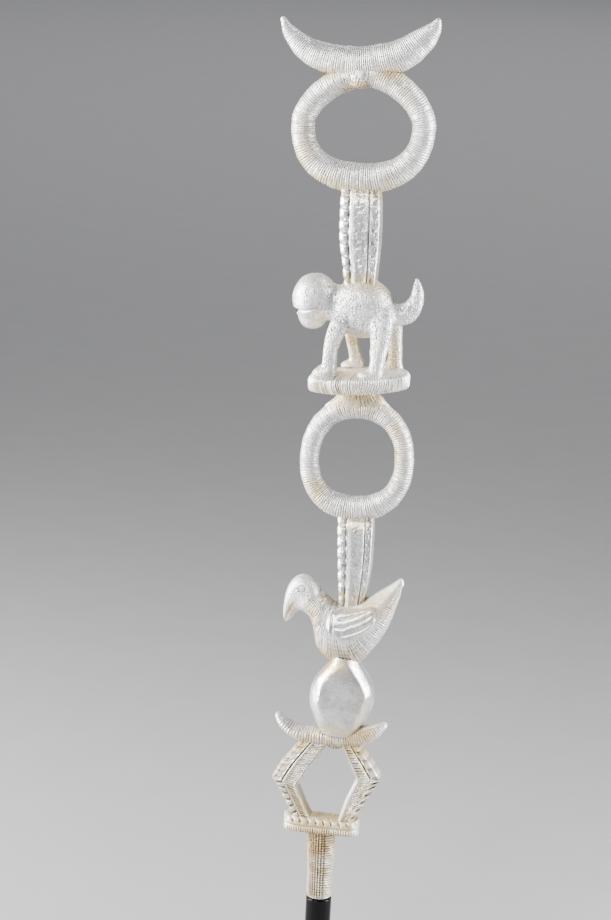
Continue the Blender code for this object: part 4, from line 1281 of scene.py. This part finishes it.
# Where stain has settled: x, y and z of the middle, its reach along each, and its strength
STAINS = (
    (-28, -6, 714, 12, 14, 5, 0.7),
    (24, -6, 716, 14, 14, 5, 0.8),
    (-2, -8, 705, 10, 12, 6, 0.8),
    (-40, -6, 650, 8, 20, 26, 0.45),
    (-24, -6, 634, 16, 20, 8, 0.6),
    (32, -6, 634, 18, 20, 8, 0.55),
    (34, -8, 690, 7, 16, 18, 0.45),
    (4, -8, 627, 18, 16, 4, 0.5),
    (4, -8, 563, 18, 18, 6, 0.6),
    (24, -8, 560, 10, 20, 8, 0.6),
    (-29, -4, 522, 13, 18, 6, 0.8),
    (-20, -6, 532, 5, 20, 8, 0.4),
    (8, 0, 517, 16, 16, 8, 1.0),
    (6, 16, 508, 12, 8, 16, 1.0),
    (33, 14, 510, 8, 8, 18, 0.9),
    (8, -6, 493, 26, 20, 4, 0.75),
    (10, 0, 478, 34, 30, 5, 0.95),
    (9, 0, 471, 22, 14, 9, 0.8),
    (40, -6, 440, 8, 14, 26, 0.55),
    (-18, -6, 402, 12, 14, 12, 0.6),
    (11, -8, 380, 20, 14, 6, 0.6),
    (12, -8, 321, 18, 16, 6, 0.8),
    (24, -14, 314, 12, 8, 10, 0.4),
    (40, -8, 322, 10, 10, 12, 0.5),
    (-17, -8, 300, 7, 16, 16, 0.8),
    (-10, -6, 276, 12, 18, 8, 0.9),
    (16, -12, 278, 18, 16, 10, 0.45),
    (-34, -8, 308, 4, 10, 8, 0.6),
    (0, -8, 268, 14, 16, 6, 0.8),
    (28, -8, 240, 8, 14, 16, 0.35),
    (8, -8, 218, 26, 18, 6, 0.75),
    (26, -6, 216, 16, 14, 6, 0.6),
    (4, 0, 200, 20, 12, 6, 0.9),
    (-24, -6, 204, 12, 12, 6, 0.6),
    (26, -6, 203, 12, 12, 6, 0.8),
    (2, 0, 146, 34, 14, 7, 1.0),
    (-16, -6, 160, 12, 12, 14, 0.45),
    (18, -6, 160, 12, 12, 14, 0.45),
    (-2, 0, 136, 30, 14, 4, 0.75),
    (-1, 0, 128, 14, 14, 10, 1.0),
    (-1, 0, 104, 14, 14, 44, 0.85),
    (-2, -8, 126, 14, 10, 5, 0.6),
    (-30, -6, 184, 16, 12, 22, 0.35),
    (30, -6, 184, 16, 12, 22, 0.4),
    (-1, -12, 140, 34, 8, 5, 0.5),
    (3, -8, 208, 40, 14, 5, 0.4),
    (10, -20, 484, 36, 10, 5, 0.45),
    (4, -8, 700, 16, 8, 4, 0.5),
    (8, -10, 632, 40, 10, 4, 0.35),
)
# Rays that find how shut in each point is, for the painted shade in recesses
RAYS = 14
RAY_REACH = 14.0


def ray_directions(count):
    """Unit vectors spread evenly over the half sphere round +Z, closer together near its pole."""
    golden = math.pi * (3 - math.sqrt(5))
    rows = []
    for k in range(count):
        up = math.sqrt((k + 0.5) / count)
        across = math.sqrt(1 - up * up)
        rows.append(Vector((across * math.cos(golden * k), across * math.sin(golden * k), up)))
    return rows


def recess(mesh, places):
    """How shut in each point is, from 0 in the open to 1 deep in a recess."""
    tree = BVHTree.FromPolygons(places.tolist(), [tuple(face.vertices) for face in mesh.polygons])
    around = ray_directions(RAYS)
    reach = RAY_REACH * MM
    values = []
    for vertex in mesh.vertices:
        turn = vertex.normal.to_track_quat("Z", "Y")
        start = vertex.co + vertex.normal * (0.15 * MM)
        found = [tree.ray_cast(start, turn @ ray, reach)[3] for ray in around]
        values.append(sum(1 - distance / reach for distance in found if distance is not None) / RAYS)
    return values


def mark(mesh, carving):
    """Keeps on the mesh each point's cut, smoothness, dots, recess and stain."""
    marks = np.concatenate(carving.marks)
    tree = KDTree(len(marks))
    for k, point in enumerate(marks[:, :3] * MM):
        tree.insert(point, k)
    tree.balance()
    places = places_in(mesh)
    nearest = [tree.find(place)[1] for place in places]
    _, _, _, cut, smoothness, dots = marks[nearest].T
    stain = np.zeros(len(places))
    for x, y, z, reach_x, reach_y, reach_z, strength in STAINS:
        away = (places / MM - (x, y, z)) / (reach_x, reach_y, reach_z)
        stain += strength * np.exp(-(away**2).sum(1))
    values = {
        "cut": np.clip(cut, 0, 1.6),
        "recess": recess(mesh, places),
        "stain": clamp(stain * (1 + 0.9 * lump(places, 9 * MM))),
        "smoothness": smoothness,
        "dots": dots,
    }
    for name, value in values.items():
        layer = mesh.attributes.new(name, "FLOAT", "POINT")
        layer.data.foreach_set("value", np.asarray(value, np.float32))


# Materials


class Shader:
    """A node material with short calls for the few kinds of node that it needs."""

    def __init__(self, name):
        self.material = bpy.data.materials.new(name)
        self.material.use_nodes = True
        self.nodes = self.material.node_tree.nodes
        self.links = self.material.node_tree.links
        self.surface = self.nodes["Principled BSDF"]
        self.place = self.nodes.new("ShaderNodeTexCoord").outputs["Object"]

    def feed(self, socket, value):
        if isinstance(value, bpy.types.NodeSocket):
            self.links.new(value, socket)
        else:
            socket.default_value = value

    def finish(self, **values):
        """Feeds the surface, whose inputs are named with _ for each space."""
        for name, value in values.items():
            self.feed(self.surface.inputs[name.replace("_", " ")], value)
        return self.material

    def node(self, kind, output, inputs, **settings):
        node = self.nodes.new("ShaderNode" + kind)
        for name, value in settings.items():
            setattr(node, name, value)
        for name, value in inputs.items():
            self.feed(node.inputs[name], value)
        return node.outputs[output]

    def value(self, name):
        """The value that the mesh keeps at its points under that name."""
        return self.node("Attribute", "Fac", {}, attribute_name=name)

    def speckle(self, size, detail=2.0, roughness=0.5):
        """Noise whose features are about that many millimetres across."""
        inputs = {"Scale": 1 / (size * MM), "Detail": detail, "Roughness": roughness, "Vector": self.place}
        return self.node("TexNoise", "Fac", inputs)

    def pits(self, size):
        """1 in the middle of each punched dot and 0 between them, about that many millimetres apart."""
        inputs = {"Scale": 1 / (size * MM), "Randomness": 0.7, "Vector": self.place}
        return self.span(self.node("TexVoronoi", "Distance", inputs), 0.1, 0.5, 1, 0)

    def math(self, operation, first, second=0.0, clamped=False):
        return self.node("Math", 0, {0: first, 1: second}, operation=operation, use_clamp=clamped)

    def times(self, first, second, clamped=False):
        return self.math("MULTIPLY", first, second, clamped)

    def plus(self, first, second):
        return self.math("ADD", first, second)

    def most(self, first, second):
        return self.math("MAXIMUM", first, second)

    def span(self, value, low, high, to_low=0.0, to_high=1.0):
        """A smooth change from one result to the other as the value goes from low to high."""
        inputs = {"Value": value, "From Min": low, "From Max": high, "To Min": to_low, "To Max": to_high}
        return self.node("MapRange", "Result", inputs, interpolation_type="SMOOTHSTEP")

    def blend(self, share, first, second):
        return self.node("Mix", "Result", {"Factor": share, "A": first, "B": second}, data_type="RGBA")

    def bump(self, height, distance, strength=1.0, over=None):
        inputs = {"Strength": strength, "Distance": distance * MM, "Height": height}
        if over is not None:
            inputs["Normal"] = over
        return self.node("Bump", "Normal", inputs)


# Colours of the materials
BRIGHT_LEAF = (0.92, 0.915, 0.91, 1)
DULL_LEAF = (0.5, 0.515, 0.545, 1)
WARM_STAIN = (0.5, 0.34, 0.15, 1)
PALE_STAIN = (0.87, 0.78, 0.58, 1)
# Painted shade, with some grime, for recesses, cuts and punched dots
RECESS_SHADE_AND_GRIME = (0.09, 0.075, 0.06, 1)
BLACK = (0.004, 0.004, 0.0045, 1)
DUST = (0.05, 0.05, 0.052, 1)
FLOOR_GREY = (0.36, 0.36, 0.37, 1)
FLOOR_PALE = (0.39, 0.39, 0.4, 1)


def metal_leaf():
    """Silver-white leaf over carved wood: dulled in patches, stained brown, with painted shade in its
    recesses.
    """
    shader = Shader("worn_metal_leaf")
    cut, shut, stain = shader.value("cut"), shader.value("recess"), shader.value("stain")
    smooth_leaf = shader.value("smoothness")
    punched = shader.times(shader.pits(2.0), shader.value("dots"))
    patches = shader.speckle(11, 3, 0.6)
    grain = shader.speckle(1.4, 4, 0.65)
    pores = shader.speckle(0.55, 2, 0.6)
    dull = shader.times(shader.span(patches, 0.38, 0.66), shader.span(grain, 0.3, 0.7, 0.35, 1))
    dull = shader.times(dull, shader.span(smooth_leaf, 0, 1, 0.7, 1))
    leaf = shader.blend(dull, BRIGHT_LEAF, DULL_LEAF)
    worn = shader.plus(shader.times(cut, 0.5), shader.span(grain, 0.35, 0.75, 0, 0.55))
    tint = shader.times(stain, shader.plus(worn, 0.22), clamped=True)
    leaf = shader.blend(shader.times(stain, 1.1, clamped=True), leaf, PALE_STAIN)
    leaf = shader.blend(tint, leaf, WARM_STAIN)
    # Painted shade, with some grime: darker where the mesh is shut in, along its cuts and in its punched
    # dots.
    deep = shader.times(shader.span(shut, 0.2, 0.7), 0.75)
    lines = shader.times(shader.span(cut, 0.3, 1.0), shader.span(pores, 0.3, 0.7, 0.26, 0.58))
    lines = shader.most(lines, shader.span(cut, 1.0, 1.6, 0, 0.8))
    dark = shader.most(shader.most(deep, lines), shader.times(punched, 0.4))
    # Where stained and where in painted shade, the leaf is less metallic and rougher.
    stain_and_shade = shader.most(shader.times(tint, 0.7), shader.times(dark, 0.8))
    sheen = shader.span(smooth_leaf, 0, 1, 0.45, 0.72)
    rough = shader.plus(shader.span(grain, 0.25, 0.75, 0.26, 0.42), shader.times(stain_and_shade, 0.3))
    relief = shader.bump(patches, 0.35, 0.4)
    relief = shader.bump(grain, 0.26, 0.8, over=relief)
    relief = shader.bump(pores, 0.1, 0.7, over=relief)
    relief = shader.bump(shader.math("SUBTRACT", 1.0, punched), 0.62, 1.0, over=relief)
    return shader.finish(
        Base_Color=shader.blend(dark, leaf, RECESS_SHADE_AND_GRIME),
        Metallic=shader.times(sheen, shader.span(stain_and_shade, 0, 0.8, 1, 0.15)),
        Roughness=shader.plus(rough, shader.span(smooth_leaf, 0, 1, 0.03, -0.05)),
        Normal=relief,
    )


def black_enamel():
    """Glossy black enamel with a little orange peel and fine dust."""
    shader = Shader("black_enamel")
    peel = shader.speckle(2.2, 2, 0.5)
    settled = shader.span(shader.speckle(0.5, 2, 0.6), 0.62, 0.8, 0, 0.12)
    return shader.finish(
        Base_Color=shader.blend(settled, BLACK, DUST),
        Roughness=shader.span(peel, 0.3, 0.7, 0.1, 0.2),
        Specular_IOR_Level=0.35,
        Normal=shader.bump(peel, 0.05, 0.3),
    )


def plain_floor():
    shader = Shader("pale_floor")
    tone = shader.blend(shader.speckle(60, 3, 0.5), FLOOR_GREY, FLOOR_PALE)
    return shader.finish(Base_Color=tone, Roughness=0.9)


# Pieces


def show(name, mesh, material, sharp, node):
    """Shows a mesh as the piece that stands for that node."""
    mesh.materials.clear()
    mesh.materials.append(material)
    mesh.shade_smooth()
    mesh.set_sharp_from_angle(angle=math.radians(sharp))
    piece = in_scene(name, mesh)
    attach(piece, "root")
    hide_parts(node)


def make_staff():
    carving = Carving()
    carve_rings(carving)
    carve_stool(carving)
    carve_bird(carving)
    carve_shafts(carving)
    carve_monkey(carving)
    carve_crescent(carving)
    mesh = carving.unite()
    mesh.name = "staff_carving"
    mark(mesh, carving)
    show("staff_carving", mesh, metal_leaf(), 32, "carved_staff")


def arc(centre, radius, start, stop, steps=5):
    """Points on an arc in the half section, from one angle in degrees to another."""
    rows = []
    for k in range(steps + 1):
        angle = math.radians(start + (stop - start) * k / steps)
        rows.append((centre[0] + radius * math.cos(angle), centre[1] + radius * math.sin(angle)))
    return rows


def turned(name, outline, node, material, sides=128):
    """A round piece turned about Z from its half section, from the underside's edge to the top's."""
    radius, level = np.array(outline).T[..., None]
    rows = grid(radius * np.cos(turns(sides)), radius * np.sin(turns(sides)), level)
    show(name, mesh_of(name, *loft(rows)), material, 35, node)


def make_stand():
    enamel = black_enamel()
    low_edge = FOOT_BEVEL * 0.4
    foot = arc((FOOT_RADIUS - low_edge, low_edge), low_edge, -90, 0, 4)
    foot += arc((FOOT_RADIUS - FOOT_BEVEL, FOOT_THICKNESS - FOOT_BEVEL), FOOT_BEVEL, 0, 90, 8)
    turned("round_foot", foot, "stand_foot", enamel, 192)
    low = FOOT_THICKNESS + GAP
    high = low + ROD_LENGTH
    rod = [(ROD_RADIUS, low)]
    rod += arc((ROD_RADIUS - ROD_BEVEL, high - ROD_BEVEL), ROD_BEVEL, 0, 90, 5)
    turned("black_rod", rod, "stand_rod", enamel)


# Room, lights and camera


def make_floor():
    reach = 30.0
    mesh = bpy.data.meshes.new("floor")
    corners = [(-reach, -reach, 0), (reach, -reach, 0), (reach, reach, 0), (-reach, reach, 0)]
    mesh.from_pydata(corners, [], [(0, 1, 2, 3)])
    mesh.materials.append(plain_floor())
    in_scene("floor", mesh)


# Soft lights: name, place, target, width, height, power and colour
LIGHTS = (
    ("key", (-1.36, -0.26, 0.66), (0, 0, 0.42), 1.1, 1.4, 76, (1, 0.99, 0.965)),
    ("rim", (1.2, 0.05, 0.6), (0, 0, 0.42), 0.5, 1.4, 42, (0.97, 0.985, 1)),
    ("front", (-0.6, -1.7, 1.4), (0, 0, 0.38), 0.9, 0.7, 27, (1, 0.995, 0.985)),
    ("far", (0, 7.5, 3.4), (0, 7.51, 0), 10, 11, 330, (1, 1, 1)),
)

# The light that comes from all round
ROOM_COLOUR = (0.5, 0.51, 0.53, 1)
ROOM_STRENGTH = 0.12


def light_room():
    for name, place, target, width, height, power, colour in LIGHTS:
        light = bpy.data.lights.new(name, "AREA")
        light.shape = "RECTANGLE"
        light.size = width
        light.size_y = height
        light.energy = power
        light.color = colour
        lamp = in_scene(name, light)
        lamp.location = place
        lamp.rotation_euler = (Vector(target) - Vector(place)).to_track_quat("-Z", "Y").to_euler()
    world = bpy.data.worlds.new("room")
    world.use_nodes = True
    background = world.node_tree.nodes["Background"]
    background.inputs["Color"].default_value = ROOM_COLOUR
    background.inputs["Strength"].default_value = ROOM_STRENGTH
    bpy.context.scene.world = world
    bpy.context.scene.view_settings.look = "AgX - Medium High Contrast"


# The photograph's view: the camera's place, its heading to the right of the front, its tilt and its roll
CAMERA_PLACE = (379.8, -2311.1, 934.9)
HEADING = 10.0
TILT = 12.3
ROLL = 2.9
FOCUS_PIXELS = 3200
FRAME_PIXELS = 920
SENSOR = 36.0


def make_camera():
    lens = bpy.data.cameras.new("camera")
    lens.sensor_width = SENSOR
    lens.lens = FOCUS_PIXELS / FRAME_PIXELS * SENSOR
    lens.clip_end = 100
    camera = in_scene("camera", lens)
    turn = Matrix.Rotation(math.radians(HEADING), 4, "Z")
    turn @= Matrix.Rotation(math.radians(90 - TILT), 4, "X")
    turn @= Matrix.Rotation(math.radians(ROLL), 4, "Z")
    camera.matrix_world = Matrix.Translation(Vector(CAMERA_PLACE) * MM) @ turn
    bpy.context.scene.camera = camera


make_staff()
make_stand()
make_floor()
light_room()
make_camera()
bpy.context.view_layer.update()
